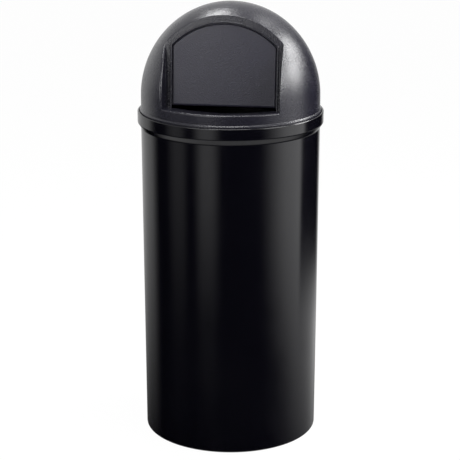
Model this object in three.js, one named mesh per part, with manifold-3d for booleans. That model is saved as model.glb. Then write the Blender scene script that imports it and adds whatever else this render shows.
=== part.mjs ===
import * as THREE from "three";
import { mergeVertices } from "three/addons/utils/BufferGeometryUtils.js";
import Module from "manifold-3d";

// A dome top waste receptacle: a round moulded container with a collar, a lift-off dome with a
// self-closing push door set in a recess, and a ring inside the mouth that grips a bag.
// Millimetres, +Z up. The origin is the centre of the base, and the door faces -Y.

const wasm = await Module();
wasm.setup();

// ---------------------------------------------------------------- driving dimensions

const GAP = 0.3; // between pieces that touch
const BITE = 1; // how far a cut runs past its piece, and a join into it
const ROUND_SIDES = 60; // facets round the container, the dome and the bag ring
const SMALL_SIDES = 16; // facets round the rod, bushes and screws
const ARC_STEPS = 9; // half the facets of the doorway's arc
const WIRE_SIDES = 5;
const COIL_STEPS = 8; // steps in each turn of a spring
const POINTS_MEASURED = 400; // along a spring, to find its least gap
const DOME_STEPS = 14; // from the dome's spring line up to its crown

// Container
const collarTop = 701.6;
const collarRadius = 195.25;
const collarHeight = 28;
const collarWall = 4;
const collarRound = 1.8;
const collarFlare = 7.2; // height over which the body flares out to the collar
const shoulderRadius = 188; // outside of the body, just under the collar
const footRadius = 184.6; // outside of the body, at the floor
const bodyWall = 3.5;
const seatDepth = 18.6; // from the collar's top down to the ledge that carries the dome
const floorThickness = 4;
const footRingInner = 163;
const footRingHeight = 6;
const footRound = 3.5;
const cornerRound = 7; // inside, where the wall meets the floor

// Lugs on the container's wall, which carry the bag ring
const lugPairs = 3;
const lugTurn = 30; // degrees from the first lug to +X
const lugDrop = 20; // from the dome's ledge down to the lugs' tops
const lugReach = 5;
const lugWidth = 24;
const lugHeight = 4;
const lugGusset = 8; // the slope under each lug, back to the wall

// Dome
const domeRise = 225.4; // from the collar's top to the crown
const domeWall = 3;
const collarClearance = 1; // between the collar's bore and the dome's skirt
const joggle = 2.6; // how far the dome steps in above its skirt
const joggleLift = 2.9; // the step starts this far above the collar
const joggleHeight = 2.3;
const domeStraight = 30; // the upright part of the dome above the collar

// Door recess in the dome
const facetLean = THREE.MathUtils.degToRad(7);
const facetDepth = 82.3; // from the dome's axis to the facet, at facetHeight
const facetHeight = 158.4; // above the collar's top
const recessHalfWidth = 124.2;
const recessWall = 3;
const sillHeight = 26.4; // front edge of the sill, above the collar's top
const sillSlope = THREE.MathUtils.degToRad(9.2); // the sill dips towards the door

// Doorway
const sideBand = 16.7; // facet left beside the doorway
const doorwayArc = 147;
const doorwayTop = 192.9; // above the collar's top
const railWidth = 6.5;
const railHeight = 1.2;
const lipDepth = 9; // stiffening lip under the sill's rear edge

// Door
const doorGap = 2.5;
const doorSetBack = 1.5;
const doorSkin = 3;
const doorWallWidth = 3;
const flangeGap = 2; // between the frame's back and the door's flange
const flangeThickness = 3;
const flangeSideLap = 10.5;
const flangeTopLap = 2.5;
const doorBottomDrop = 1.5; // the door ends this far below the sill's front edge
const ribDepth = 12;
const ribWidth = 3;
const ribSpacing = 120;

// Hinge
const hingeBehindFacet = 15.1;
const hingeBelowTop = 1.5; // below the top of the doorway
const rodRadius = 2;
const bushWall = 1.2;
const bushFlange = 1.6;
const bushFlangeThickness = 1;
const knuckleWall = 2.2;
const knuckleWidth = 11;
const knuckleInner = 22; // from the middle of the door to each knuckle
const knuckleGusset = 40; // how far each knuckle's gusset runs down the door

// Springs
const wireRadius = 0.7;
const coilClearance = 1.5; // between the rod and the coil
const coilTurns = 5;
const coilPitch = 2;
const doorLegLength = 31;
const bracketLegLength = 22;

// Hinge brackets
const bracketThickness = 3;
const bracketFootLength = 30;
const bracketFootOut = 11.5; // foot, outboard of the upright plate
const bracketFootIn = 5.5; // foot, over the spring's leg
const legFootGap = 0.8; // between the spring's leg and the foot over it
const footBehindRod = 6;
const bossRadius = 5;
const screwPitch = 17;
const screwRadius = 1.5;
const screwHeadRadius = 3.4;
const screwHeadHeight = 2.2;
const screwLength = 9;
const screwPoint = 1;
const slotWidth = 0.9;
const slotDepth = 1;

// Rod caps
const capRadius = 4.6;
const capLength = 2.6;
const capFloor = 1;

// Door bumpers
const bumperRadius = 3.4;
const bumperStem = 1.7;
const bumperButton = 2.7;
const bumperButtonHeight = 1.6;
const bumperRound = 0.6;
const bumperLow = 20; // above the bottom of the door
const bumperHigh = 105;

// Bag ring
const ringWall = 2;
const ringHoop = 28; // how far the hoop hangs below its flange
const ringBodyGap = 0.6; // from the flange to the wall, and from the hoop to the lugs
const tabReach = 12;
const tabWidth = 30;

// ---------------------------------------------------------------- sizes that follow

const collarBottom = collarTop - collarHeight;
const seatHeight = collarTop - seatDepth;
const collarBore = collarRadius - collarWall;
const bodyRadiusAt = (z) =>
  footRadius + ((shoulderRadius - footRadius) * z) / collarBottom;
const mouthRadius = bodyRadiusAt(seatHeight) - bodyWall;
const lugTop = seatHeight - lugDrop;
const lugInner = mouthRadius - lugReach;

const crown = collarTop + domeRise;
const springLine = collarTop + domeStraight;
const skirtBottom = seatHeight + GAP;
const skirtRadius = collarBore - collarClearance;
const domeRadius = skirtRadius - joggle;

const facetZ = collarTop + facetHeight;
const sillZ = collarTop + sillHeight;
const doorwayHalfWidth = recessHalfWidth - sideBand;
const doorwayTopZ = collarTop + doorwayTop;
const doorBottomZ = sillZ - doorBottomDrop;
const alongFacet = (z) => (z - facetZ) / Math.cos(facetLean);
const sillZAt = (radius) => sillZ - (domeRadius - radius) * Math.tan(sillSlope);

const frameBack = -recessWall;
const doorFront = -doorSetBack;
const flangeFront = frameBack - flangeGap;
const doorBack = flangeFront - flangeThickness;

// The hinge axis, in the facet's own upward and outward directions and in the part's frame.
const hingeUp = alongFacet(doorwayTopZ - hingeBelowTop);
const hingeOut = -hingeBehindFacet;
const hingeY =
  -facetDepth + hingeUp * Math.sin(facetLean) - hingeOut * Math.cos(facetLean);
const hingeZ =
  facetZ + hingeUp * Math.cos(facetLean) + hingeOut * Math.sin(facetLean);

const bushBore = rodRadius + GAP;
const bushRadius = bushBore + bushWall;
const knuckleBore = bushRadius + GAP;
const knuckleRadius = knuckleBore + knuckleWall;
const knuckleOuter = knuckleInner + knuckleWidth;
const coilRadius = rodRadius + coilClearance + wireRadius;
const footAboveRod = coilRadius + wireRadius + legFootGap;
const coilStart = knuckleOuter + bushFlangeThickness + 2 * GAP + wireRadius;
const coilEnd = coilStart + coilPitch * (coilTurns + 0.25);
const plateInner = coilEnd + wireRadius + 2 * GAP;
const plateOuter = plateInner + bracketThickness;
const plateLug = rodRadius + GAP + bracketThickness;
const capStart = plateOuter + GAP;
const rodHalfLength = capStart + capLength - capFloor - GAP;
const footTop = hingeZ + footAboveRod + bracketThickness;
const footFront = hingeY + footBehindRod;

// ---------------------------------------------------------------- solids

function solidOf(geometry) {
  const open = geometry.index ? geometry.toNonIndexed() : geometry.clone();
  open.deleteAttribute("normal");
  open.deleteAttribute("uv");
  const merged = mergeVertices(open, 1e-4);
  const index = merged.index.array;
  const kept = [];
  for (let i = 0; i < index.length; i += 3) {
    const [a, b, c] = [index[i], index[i + 1], index[i + 2]];
    if (a !== b && b !== c && c !== a) kept.push(a, b, c);
  }
  return new wasm.Manifold(
    new wasm.Mesh({
      numProp: 3,
      vertProperties: merged.attributes.position.array,
      triVerts: new Uint32Array(kept),
    }),
  );
}

function meshOf(name, solid, material) {
  const { vertProperties, triVerts } = solid.getMesh();
  const geometry = new THREE.BufferGeometry()
    .setAttribute("position", new THREE.BufferAttribute(vertProperties, 3))
    .setIndex(new THREE.BufferAttribute(triVerts, 1));
  geometry.computeVertexNormals();
  const mesh = new THREE.Mesh(geometry, material);
  mesh.name = name;
  return mesh;
}

function box(x0, x1, y0, y1, z0, z1) {
  const geometry = new THREE.BoxGeometry(x1 - x0, y1 - y0, z1 - z0);
  geometry.translate((x0 + x1) / 2, (y0 + y1) / 2, (z0 + z1) / 2);
  return solidOf(geometry);
}

// A profile of [radius, height] points turned round Z, going up the outside and down the inside.
function turned(profile, sides = ROUND_SIDES) {
  const points = profile.map(([radius, height]) => new THREE.Vector2(radius, height));
  return new THREE.LatheGeometry(points, sides).rotateX(Math.PI / 2);
}

// The same, for a ring whose profile closes on itself.
function turnedRing(profile, sides = ROUND_SIDES) {
  return turned([...profile, profile[0]], sides);
}

// A profile of [radius, x] points turned round the hinge rod's axis.
function turnedOnRod(profile) {
  const geometry = turned(profile, SMALL_SIDES).rotateY(Math.PI / 2);
  return solidOf(geometry.translate(0, hingeY, hingeZ));
}

function rodSolid(radius, x0, x1) {
  return turnedOnRod([
    [0, x0],
    [radius, x0],
    [radius, x1],
    [0, x1],
  ]);
}

function upright(radius, x, y, z0, z1) {
  const profile = [
    [0, z0],
    [radius, z0],
    [radius, z1],
    [0, z1],
  ];
  return solidOf(turned(profile, SMALL_SIDES).translate(x, y, 0));
}

// Puts a shape drawn as (across, up the facet) and extruded outwards on the leaning facet.
function onFacet(geometry) {
  geometry.rotateX(Math.PI / 2 - facetLean);
  return geometry.translate(0, -facetDepth, facetZ);
}

function facetPlate(shape, back, front) {
  const geometry = new THREE.ExtrudeGeometry(shape, {
    depth: front - back,
    bevelEnabled: false,
    curveSegments: ARC_STEPS,
  });
  return solidOf(onFacet(geometry.translate(0, 0, back)));
}

// A shape drawn as (y, z), extruded across the part from x0 to x1.
function acrossPlate(points, x0, x1) {
  const shape = new THREE.Shape(points.map(([y, z]) => new THREE.Vector2(y, z)));
  const geometry = new THREE.ExtrudeGeometry(shape, { depth: x1 - x0, bevelEnabled: false });
  geometry.rotateY(Math.PI / 2).rotateX(Math.PI / 2);
  return solidOf(geometry.translate(x0, 0, 0));
}

// Straight sides and a flat arc over them, drawn in the facet's own plane.
function archShape(halfWidth, arcRadius, top, bottom) {
  const centre = top - arcRadius;
  const reach = Math.asin(halfWidth / arcRadius);
  const shape = new THREE.Shape();
  shape.moveTo(-halfWidth, bottom);
  shape.lineTo(halfWidth, bottom);
  shape.absarc(0, centre, arcRadius, Math.PI / 2 - reach, Math.PI / 2 + reach, false);
  shape.closePath();
  return shape;
}

function rectShape(x0, x1, up0, up1) {
  return new THREE.Shape([
    new THREE.Vector2(x0, up0),
    new THREE.Vector2(x1, up0),
    new THREE.Vector2(x1, up1),
    new THREE.Vector2(x0, up1),
  ]);
}

// ---------------------------------------------------------------- container

function restLugs() {
  const root = mouthRadius + BITE;
  const low = lugTop - lugHeight - lugGusset;
  const band = solidOf(
    turnedRing([
      [root, low],
      [root, lugTop],
      [lugInner, lugTop],
      [lugInner, lugTop - lugHeight],
    ]),
  );
  const strips = [];
  for (let i = 0; i < lugPairs; i++) {
    const strip = box(-root, root, -lugWidth / 2, lugWidth / 2, low - BITE, lugTop + BITE);
    strips.push(strip.rotate([0, 0, lugTurn + (180 / lugPairs) * i]));
  }
  return band.intersect(wasm.Manifold.union(strips));
}

function containerBody() {
  const bore = (z) => bodyRadiusAt(z) - bodyWall;
  const floorTop = footRingHeight + floorThickness;
  const flare = collarRadius - shoulderRadius;
  return solidOf(
    turned([
      [0, footRingHeight],
      [footRingInner - footRingHeight, footRingHeight],
      [footRingInner, 0],
      [footRadius - footRound, 0],
      [footRadius - footRound * 0.3, footRound * 0.3],
      [bodyRadiusAt(footRound), footRound],
      [bodyRadiusAt(collarBottom - collarFlare * 0.5), collarBottom - collarFlare * 0.5],
      [shoulderRadius + flare * 0.35, collarBottom - collarFlare * 0.25],
      [shoulderRadius + flare * 0.8, collarBottom + collarFlare * 0.15],
      [collarRadius, collarBottom + collarFlare * 0.7],
      [collarRadius, collarTop - collarRound],
      [collarRadius - collarRound * 0.3, collarTop - collarRound * 0.3],
      [collarRadius - collarRound, collarTop],
      [collarBore + collarRound * 0.5, collarTop],
      [collarBore, collarTop - collarRound * 0.5],
      [collarBore, seatHeight],
      [mouthRadius, seatHeight],
      [bore(floorTop + cornerRound), floorTop + cornerRound],
      [bore(floorTop) - cornerRound * 0.3, floorTop + cornerRound * 0.3 - footRingHeight],
      [bore(floorTop) - cornerRound, floorThickness],
      [footRingInner, floorThickness],
      [footRingInner - footRingHeight, floorTop],
      [0, floorTop],
    ]),
  ).add(restLugs());
}

// ---------------------------------------------------------------- dome

// From the spring line up to the crown: the dome's quarter ellipse, set in by a wall's thickness.
function domeArc(inset) {
  const points = [];
  for (let i = 0; i <= DOME_STEPS; i++) {
    const angle = (Math.PI / 2) * (i / DOME_STEPS);
    const radius = i === DOME_STEPS ? 0 : (domeRadius - inset) * Math.cos(angle);
    points.push([radius, springLine + (crown - inset - springLine) * Math.sin(angle)]);
  }
  return points;
}

function domeSolid(inset, bottom) {
  const step = collarTop + joggleLift;
  return solidOf(
    turned([
      [0, bottom],
      [skirtRadius - inset, bottom],
      [skirtRadius - inset, step - inset * 0.4],
      [skirtRadius - inset - joggle * 0.35, step + joggleHeight * 0.4 - inset * 0.4],
      [domeRadius - inset, step + joggleHeight - inset * 0.4],
      ...domeArc(inset),
    ]),
  );
}

// Everything below the sill's dished surface, lowered by drop.
function underSill(drop) {
  const rim = domeRadius * 3;
  const low = sillZ - collarHeight * 2;
  return solidOf(
    turned([
      [0, low],
      [rim, low],
      [rim, sillZAt(rim) - drop],
      [0, sillZAt(0) - drop],
    ]),
  );
}

// Everything in front of the facet, between the recess's sides and above its dished sill.
function recessSpace(grow) {
  const low = sillZ - collarHeight;
  const high = crown * 1.1;
  const facetY = (z) => -facetDepth + (z - facetZ) * Math.tan(facetLean);
  const back = grow / Math.cos(facetLean);
  const front = -domeRadius * 2;
  const wedge = acrossPlate(
    [
      [facetY(low) + back, low],
      [facetY(high) + back, high],
      [front, high],
      [front, low],
    ],
    -recessHalfWidth - grow,
    recessHalfWidth + grow,
  );
  return wedge.subtract(underSill(grow));
}

function domeLid() {
  const outer = domeSolid(0, skirtBottom);
  const shell = outer.subtract(domeSolid(domeWall, skirtBottom - domeWall));
  const lining = outer.intersect(recessSpace(recessWall));
  const doorway = facetPlate(
    archShape(
      doorwayHalfWidth,
      doorwayArc,
      alongFacet(doorwayTopZ),
      alongFacet(sillZ - collarHeight),
    ),
    frameBack - BITE,
    GAP,
  ).subtract(underSill(0));
  let lid = shell.add(lining).subtract(recessSpace(0)).subtract(doorway);
  lid = lid.add(sillLip());
  for (const side of [-1, 1]) lid = lid.add(rail(side));
  for (const [x, y] of screwPlaces()) {
    lid = lid.add(upright(bossRadius, x, y, footTop + GAP, crown).intersect(outer));
  }
  for (const [x, y] of screwPlaces()) {
    const pilotTop = footTop + screwLength - bracketThickness + GAP;
    lid = lid.subtract(upright(screwRadius + GAP, x, y, footTop, pilotTop));
  }
  return lid;
}

// A lip that turns down under the sill's rear edge and stiffens it.
function sillLip() {
  const edge = alongFacet(sillZAt(facetDepth));
  const reach = doorwayHalfWidth + railWidth;
  return facetPlate(
    rectShape(-reach, reach, edge - 2 * lipDepth, edge + 2 * lipDepth),
    frameBack,
    0,
  )
    .intersect(underSill(0))
    .subtract(underSill(lipDepth));
}

// A low rail on the facet beside the doorway, from the sill up to the corner of the arch.
function rail(side) {
  const inner = side * doorwayHalfWidth;
  const outer = side * (doorwayHalfWidth + railWidth);
  const corner =
    alongFacet(doorwayTopZ) -
    doorwayArc +
    Math.sqrt(doorwayArc ** 2 - doorwayHalfWidth ** 2);
  const foot = alongFacet(sillZAt(Math.hypot(facetDepth, doorwayHalfWidth)));
  const shape = rectShape(Math.min(inner, outer), Math.max(inner, outer), foot - BITE, corner);
  return facetPlate(shape, frameBack + BITE, railHeight);
}

// ---------------------------------------------------------------- door

const doorTop = alongFacet(doorwayTopZ) - doorGap;
const doorBottom = alongFacet(doorBottomZ);
const doorHalfWidth = doorwayHalfWidth - doorGap;

function pushDoor() {
  const arc = doorwayArc - doorGap;
  const panel = archShape(doorHalfWidth, arc, doorTop, doorBottom);
  const hollow = archShape(
    doorHalfWidth - doorWallWidth,
    arc - doorWallWidth,
    doorTop - doorWallWidth,
    doorBottom + doorWallWidth,
  );
  const flange = archShape(
    doorwayHalfWidth + flangeSideLap,
    doorwayArc + flangeTopLap,
    alongFacet(doorwayTopZ) + flangeTopLap,
    doorBottom,
  );
  let door = facetPlate(panel, doorBack, doorFront).add(
    facetPlate(flange, doorBack, flangeFront),
  );
  door = door.subtract(facetPlate(hollow, doorBack - BITE, doorFront - doorSkin));
  for (const side of [-1, 1]) {
    const x = (side * ribSpacing) / 2;
    const ribTop = doorTop - knuckleGusset;
    door = door.add(
      facetPlate(
        rectShape(x - ribWidth / 2, x + ribWidth / 2, doorBottom + BITE, ribTop),
        doorFront - doorSkin - ribDepth,
        doorFront - BITE,
      ),
    );
    door = door.add(knuckle(side));
  }
  const cross = (doorTop + doorBottom) / 2;
  door = door.add(
    facetPlate(
      rectShape(-ribSpacing / 2, ribSpacing / 2, cross - ribWidth / 2, cross + ribWidth / 2),
      doorFront - doorSkin - ribDepth,
      doorFront - BITE,
    ),
  );
  for (const side of [-1, 1]) {
    const [x0, x1] = sideSpan(side, knuckleInner - BITE, knuckleOuter + BITE);
    door = door.subtract(rodSolid(knuckleBore, x0, x1));
  }
  for (const [x, up] of bumperPlaces()) {
    door = door.subtract(onFacetTurned(x, up, [
      [0, doorBack - BITE],
      [bumperStem + GAP, doorBack - BITE],
      [bumperStem + GAP, flangeFront + BITE],
      [0, flangeFront + BITE],
    ]));
  }
  return door;
}

function sideSpan(side, near, far) {
  return side > 0 ? [near, far] : [-far, -near];
}

// A barrel round the rod, with a gusset that carries it on the door's back.
function knuckle(side) {
  const [x0, x1] = sideSpan(side, knuckleInner, knuckleOuter);
  const skinBack = doorFront - doorSkin;
  const place = (up, out) => [
    -facetDepth + up * Math.sin(facetLean) - out * Math.cos(facetLean),
    facetZ + up * Math.cos(facetLean) + out * Math.sin(facetLean),
  ];
  const gussetTop = doorTop - 2 * doorWallWidth;
  const gusset = acrossPlate(
    [
      place(doorTop - knuckleGusset, skinBack + BITE),
      place(gussetTop, skinBack + BITE),
      place(doorTop - BITE, hingeOut + knuckleRadius * 0.9),
      place(hingeUp, hingeOut),
      place(hingeUp - knuckleRadius * 0.7, hingeOut - knuckleRadius * 0.7),
    ],
    x0,
    x1,
  );
  return gusset.add(rodSolid(knuckleRadius, x0, x1));
}

// ---------------------------------------------------------------- small pieces on the facet

function onFacetTurned(x, up, profile) {
  const geometry = new THREE.LatheGeometry(
    profile.map(([radius, out]) => new THREE.Vector2(radius, out)),
    SMALL_SIDES,
  );
  return solidOf(onFacet(geometry.rotateX(Math.PI / 2).translate(x, up, 0)));
}

function bumperPlaces() {
  const x = doorwayHalfWidth + flangeSideLap / 2;
  return [-x, x].flatMap((across) => [
    [across, doorBottom + bumperLow],
    [across, doorBottom + bumperHigh],
  ]);
}

// A rubber button whose stem passes through the door's flange.
function bumper(x, up) {
  const buttonTop = doorBack - GAP;
  const headTop = frameBack - GAP;
  return onFacetTurned(x, up, [
    [0, buttonTop - bumperButtonHeight],
    [bumperButton - bumperRound, buttonTop - bumperButtonHeight],
    [bumperButton, buttonTop - bumperButtonHeight + bumperRound],
    [bumperButton, buttonTop],
    [bumperStem, buttonTop],
    [bumperStem, flangeFront + GAP],
    [bumperRadius, flangeFront + GAP],
    [bumperRadius, headTop - bumperRound],
    [bumperRadius - bumperRound, headTop],
    [0, headTop],
  ]);
}

// ---------------------------------------------------------------- hinge

function bush(side) {
  const lip = bushRadius + bushFlange;
  const end = knuckleOuter + GAP + bushFlangeThickness;
  const profile = [
    [bushBore, knuckleInner],
    [bushRadius, knuckleInner],
    [bushRadius, knuckleOuter + GAP],
    [lip, knuckleOuter + GAP],
    [lip, end],
    [bushBore, end],
    [bushBore, knuckleInner],
  ];
  return side > 0 ? turnedOnRod(profile) : turnedOnRod(mirrored(profile));
}

// The same profile on the other half of the rod, in the order that keeps its faces outwards.
function mirrored(profile) {
  return profile.map(([radius, x]) => [radius, -x]).reverse();
}

function rodCap(side) {
  const end = capStart + capLength;
  const bore = rodRadius + GAP;
  const profile = [
    [bore, capStart],
    [capRadius, capStart],
    [capRadius, end - capFloor],
    [capRadius * 0.75, end],
    [0, end],
    [0, end - capFloor],
    [bore, end - capFloor],
    [bore, capStart],
  ];
  return side > 0 ? turnedOnRod(profile) : turnedOnRod(mirrored(profile));
}

// A torsion spring: a leg up the door's back, the coil, and a leg under the bracket's foot.
class SpringPath extends THREE.Curve {
  constructor(side) {
    super();
    this.side = side;
    this.coilLength = 2 * Math.PI * coilRadius * (coilTurns + 0.25);
    this.length = doorLegLength + this.coilLength + bracketLegLength;
    const lean = Math.asin((coilRadius - legStandOff()) / doorLegLength);
    this.lean = facetLean + lean;
  }

  getPoint(t, target = new THREE.Vector3()) {
    const run = t * this.length;
    const inCoil = THREE.MathUtils.clamp(run - doorLegLength, 0, this.coilLength);
    const turn = inCoil / coilRadius;
    const x = coilStart + (coilPitch * turn) / (2 * Math.PI);
    const angle = Math.PI - turn;
    let y = coilRadius * Math.cos(angle);
    let z = coilRadius * Math.sin(angle);
    if (run < doorLegLength) {
      const left = doorLegLength - run;
      y -= left * Math.sin(this.lean);
      z -= left * Math.cos(this.lean);
    }
    if (run > doorLegLength + this.coilLength) y += run - doorLegLength - this.coilLength;
    return target.set(this.side * x, hingeY + y, hingeZ + z);
  }
}

// How far in front of the rod's axis the door leg's tip lies, square to the facet.
function legStandOff() {
  const tip = doorFront - doorSkin - wireRadius - 2 * GAP;
  return 2 * coilRadius - (tip - hingeOut);
}

function doorSpring(side) {
  const path = new SpringPath(side);
  const corners = [];
  for (let i = 0; i < WIRE_SIDES; i++) {
    const angle = (2 * Math.PI * i) / WIRE_SIDES;
    corners.push(new THREE.Vector2(wireRadius * Math.cos(angle), wireRadius * Math.sin(angle)));
  }
  const steps = Math.round((path.length / (2 * Math.PI * coilRadius)) * COIL_STEPS);
  return solidOf(
    new THREE.ExtrudeGeometry(new THREE.Shape(corners), { steps, extrudePath: path }),
  );
}

// The least gap between a spring's turns, from points that lie over half a turn apart.
function leastGap(path) {
  const points = path.getSpacedPoints(POINTS_MEASURED);
  const apart = Math.ceil((Math.PI * coilRadius * POINTS_MEASURED) / path.length);
  let least = Infinity;
  for (let i = 0; i + apart < points.length; i++) {
    for (let j = i + apart; j < points.length; j++) {
      least = Math.min(least, points[i].distanceTo(points[j]));
    }
  }
  return least - 2 * wireRadius;
}

// ---------------------------------------------------------------- brackets and screws

function screwPlaces() {
  const x = plateOuter + bracketFootOut / 2;
  const middle = footFront + bracketFootLength / 2;
  return [-x, x].flatMap((across) => [
    [across, middle - screwPitch / 2],
    [across, middle + screwPitch / 2],
  ]);
}

function hingeBracket(side) {
  const footBottom = footTop - bracketThickness;
  const footBack = footFront + bracketFootLength;
  const [p0, p1] = sideSpan(side, plateInner, plateOuter);
  const [f0, f1] = sideSpan(side, plateInner - bracketFootIn, plateOuter + bracketFootOut);
  const web = acrossPlate(
    [
      [hingeY - plateLug * 0.7, hingeZ - plateLug * 0.7],
      [hingeY + plateLug * 0.9, hingeZ - plateLug * 0.9],
      [footBack, footBottom],
      [footBack, footTop],
      [footFront, footTop],
      [hingeY - plateLug * 0.7, hingeZ + plateLug * 0.7],
    ],
    p0,
    p1,
  );
  let bracket = web
    .add(rodSolid(plateLug, p0, p1))
    .add(box(f0, f1, footFront, footBack, footBottom, footTop))
    .subtract(rodSolid(rodRadius + GAP, p0 - BITE, p1 + BITE));
  for (const [x, y] of screwPlaces()) {
    if (Math.sign(x) !== side) continue;
    bracket = bracket.subtract(
      upright(screwRadius + GAP, x, y, footBottom - BITE, footTop + BITE),
    );
  }
  return bracket;
}

function bracketScrew(x, y) {
  const head = footTop - bracketThickness - GAP;
  const profile = [
    [0, head - screwHeadHeight],
    [screwHeadRadius * 0.6, head - screwHeadHeight],
    [screwHeadRadius, head - screwHeadHeight * 0.5],
    [screwHeadRadius, head],
    [screwRadius, head],
    [screwRadius, head + screwLength - screwPoint],
    [screwRadius * 0.4, head + screwLength],
    [0, head + screwLength],
  ];
  const screw = solidOf(turned(profile, SMALL_SIDES).translate(x, y, 0));
  const low = head - screwHeadHeight;
  const reach = screwHeadRadius * 0.7;
  const half = slotWidth / 2;
  return screw
    .subtract(box(x - reach, x + reach, y - half, y + half, low - BITE, low + slotDepth))
    .subtract(box(x - half, x + half, y - reach, y + reach, low - BITE, low + slotDepth));
}

// ---------------------------------------------------------------- bag ring

function bagRing() {
  const hoop = lugInner - ringBodyGap;
  const bottom = lugTop + GAP;
  const top = bottom + ringWall;
  const flange = mouthRadius - ringBodyGap;
  let ring = solidOf(
    turnedRing([
      [hoop - ringWall, bottom - ringHoop],
      [hoop, bottom - ringHoop],
      [hoop, bottom],
      [flange, bottom],
      [flange, top],
      [hoop - ringWall, top],
    ]),
  );
  for (const side of [-1, 1]) {
    const [x0, x1] = sideSpan(side, hoop - ringWall - tabReach, hoop - ringWall / 2);
    ring = ring.add(box(x0, x1, -tabWidth / 2, tabWidth / 2, bottom, top));
  }
  return ring;
}

// ---------------------------------------------------------------- finishes

const finish = (color, roughness, metalness = 0) =>
  new THREE.MeshStandardMaterial({ color, roughness, metalness });

const blackBody = finish(0x17161b, 0.3);
const blackGrain = finish(0x2a2930, 0.45);
const zincSteel = finish(0xb4b6ba, 0.35, 1);
const springSteel = finish(0x8b8d92, 0.3, 1);
const paleNylon = finish(0xe6e3d8, 0.5);
const blackRubber = finish(0x1d1d1f, 0.85);
const greyPlastic = finish(0x3b3c41, 0.5);

// ---------------------------------------------------------------- assembly

const receptacle = new THREE.Group();
const container = new THREE.Group();
const dome = new THREE.Group();
const door = new THREE.Group();
receptacle.add(container, dome);
dome.add(door);

container.add(meshOf("container_body", containerBody(), blackBody));
container.add(meshOf("bag_ring", bagRing(), greyPlastic));
dome.add(meshOf("dome_lid", domeLid(), blackGrain));
dome.add(meshOf("hinge_rod", rodSolid(rodRadius, -rodHalfLength, rodHalfLength), zincSteel));
door.add(meshOf("push_door", pushDoor(), blackGrain));

for (const [side, label] of [
  [-1, "left"],
  [1, "right"],
]) {
  dome.add(meshOf(`hinge_bracket_${label}`, hingeBracket(side), zincSteel));
  dome.add(meshOf(`door_spring_${label}`, doorSpring(side), springSteel));
  dome.add(meshOf(`rod_cap_${label}`, rodCap(side), zincSteel));
  door.add(meshOf(`hinge_bush_${label}`, bush(side), paleNylon));
}

screwPlaces().forEach(([x, y], i) => {
  dome.add(meshOf(`bracket_screw_${i + 1}`, bracketScrew(x, y), zincSteel));
});
bumperPlaces().forEach(([x, up], i) => {
  door.add(meshOf(`door_bumper_${i + 1}`, bumper(x, up), blackRubber));
});

console.log(`least gap in a spring: ${leastGap(new SpringPath(1)).toFixed(2)} mm`);

export default receptacle;
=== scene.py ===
"""A dome top waste receptacle: a black moulded container, a lift-off dome with a recessed push
door, the door's sprung hinge and the ring that holds the bag, in a pale studio.

Metres, +Z up. The origin is the centre of the base, and the door faces -Y.
"""

import logging
import math
from collections.abc import Callable, Iterator, Sequence
from contextlib import contextmanager
from dataclasses import dataclass, field
from enum import Enum

import bmesh
import bpy
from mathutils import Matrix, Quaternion, Vector


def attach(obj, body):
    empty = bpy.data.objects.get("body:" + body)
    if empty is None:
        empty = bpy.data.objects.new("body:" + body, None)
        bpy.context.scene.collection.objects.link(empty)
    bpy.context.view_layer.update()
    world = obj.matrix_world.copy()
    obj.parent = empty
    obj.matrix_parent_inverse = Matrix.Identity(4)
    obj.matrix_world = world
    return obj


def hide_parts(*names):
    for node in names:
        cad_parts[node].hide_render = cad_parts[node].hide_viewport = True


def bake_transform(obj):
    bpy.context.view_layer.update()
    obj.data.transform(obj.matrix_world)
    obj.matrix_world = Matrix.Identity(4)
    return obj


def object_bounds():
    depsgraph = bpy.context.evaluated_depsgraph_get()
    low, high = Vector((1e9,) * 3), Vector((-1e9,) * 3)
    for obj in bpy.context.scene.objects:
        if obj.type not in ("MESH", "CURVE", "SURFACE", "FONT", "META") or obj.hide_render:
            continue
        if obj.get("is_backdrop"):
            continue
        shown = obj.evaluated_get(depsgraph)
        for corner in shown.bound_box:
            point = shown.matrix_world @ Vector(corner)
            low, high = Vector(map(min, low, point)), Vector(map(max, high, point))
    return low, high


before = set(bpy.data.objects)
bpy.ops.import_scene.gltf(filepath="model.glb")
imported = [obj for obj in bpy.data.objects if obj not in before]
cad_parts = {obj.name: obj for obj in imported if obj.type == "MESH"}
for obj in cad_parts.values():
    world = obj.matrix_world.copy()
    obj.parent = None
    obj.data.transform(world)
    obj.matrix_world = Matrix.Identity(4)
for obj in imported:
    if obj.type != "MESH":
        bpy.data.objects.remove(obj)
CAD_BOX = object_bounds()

LOG = logging.getLogger("receptacle")
MM = 0.001

Point = tuple[float, float]
Corner = tuple[float, float, float]
Colour = tuple[float, float, float]


class Body(Enum):
    """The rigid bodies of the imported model."""

    CONTAINER = "container"
    RING = "bag_ring"
    DOME = "dome"
    DOOR = "door"


class Slot(Enum):
    """The record's material slots."""

    BODY = "body"
    DOME = "dome"
    DOOR = "door"
    RING = "ring"
    STEEL = "steel"
    SPRING = "spring"
    NYLON = "nylon"
    RUBBER = "rubber"


class Part(Enum):
    """What a selection in edit mode is made of."""

    VERTS = "VERT"
    EDGES = "EDGE"
    FACES = "FACE"


class Side(Enum):
    """The two halves of the hinge, by the sign of X."""

    LEFT = -1
    RIGHT = 1

    @property
    def label(self) -> str:
        """The side's name as the frame's nodes write it."""
        return self.name.lower()


# ---------------------------------------------------------------- modelling


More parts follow.
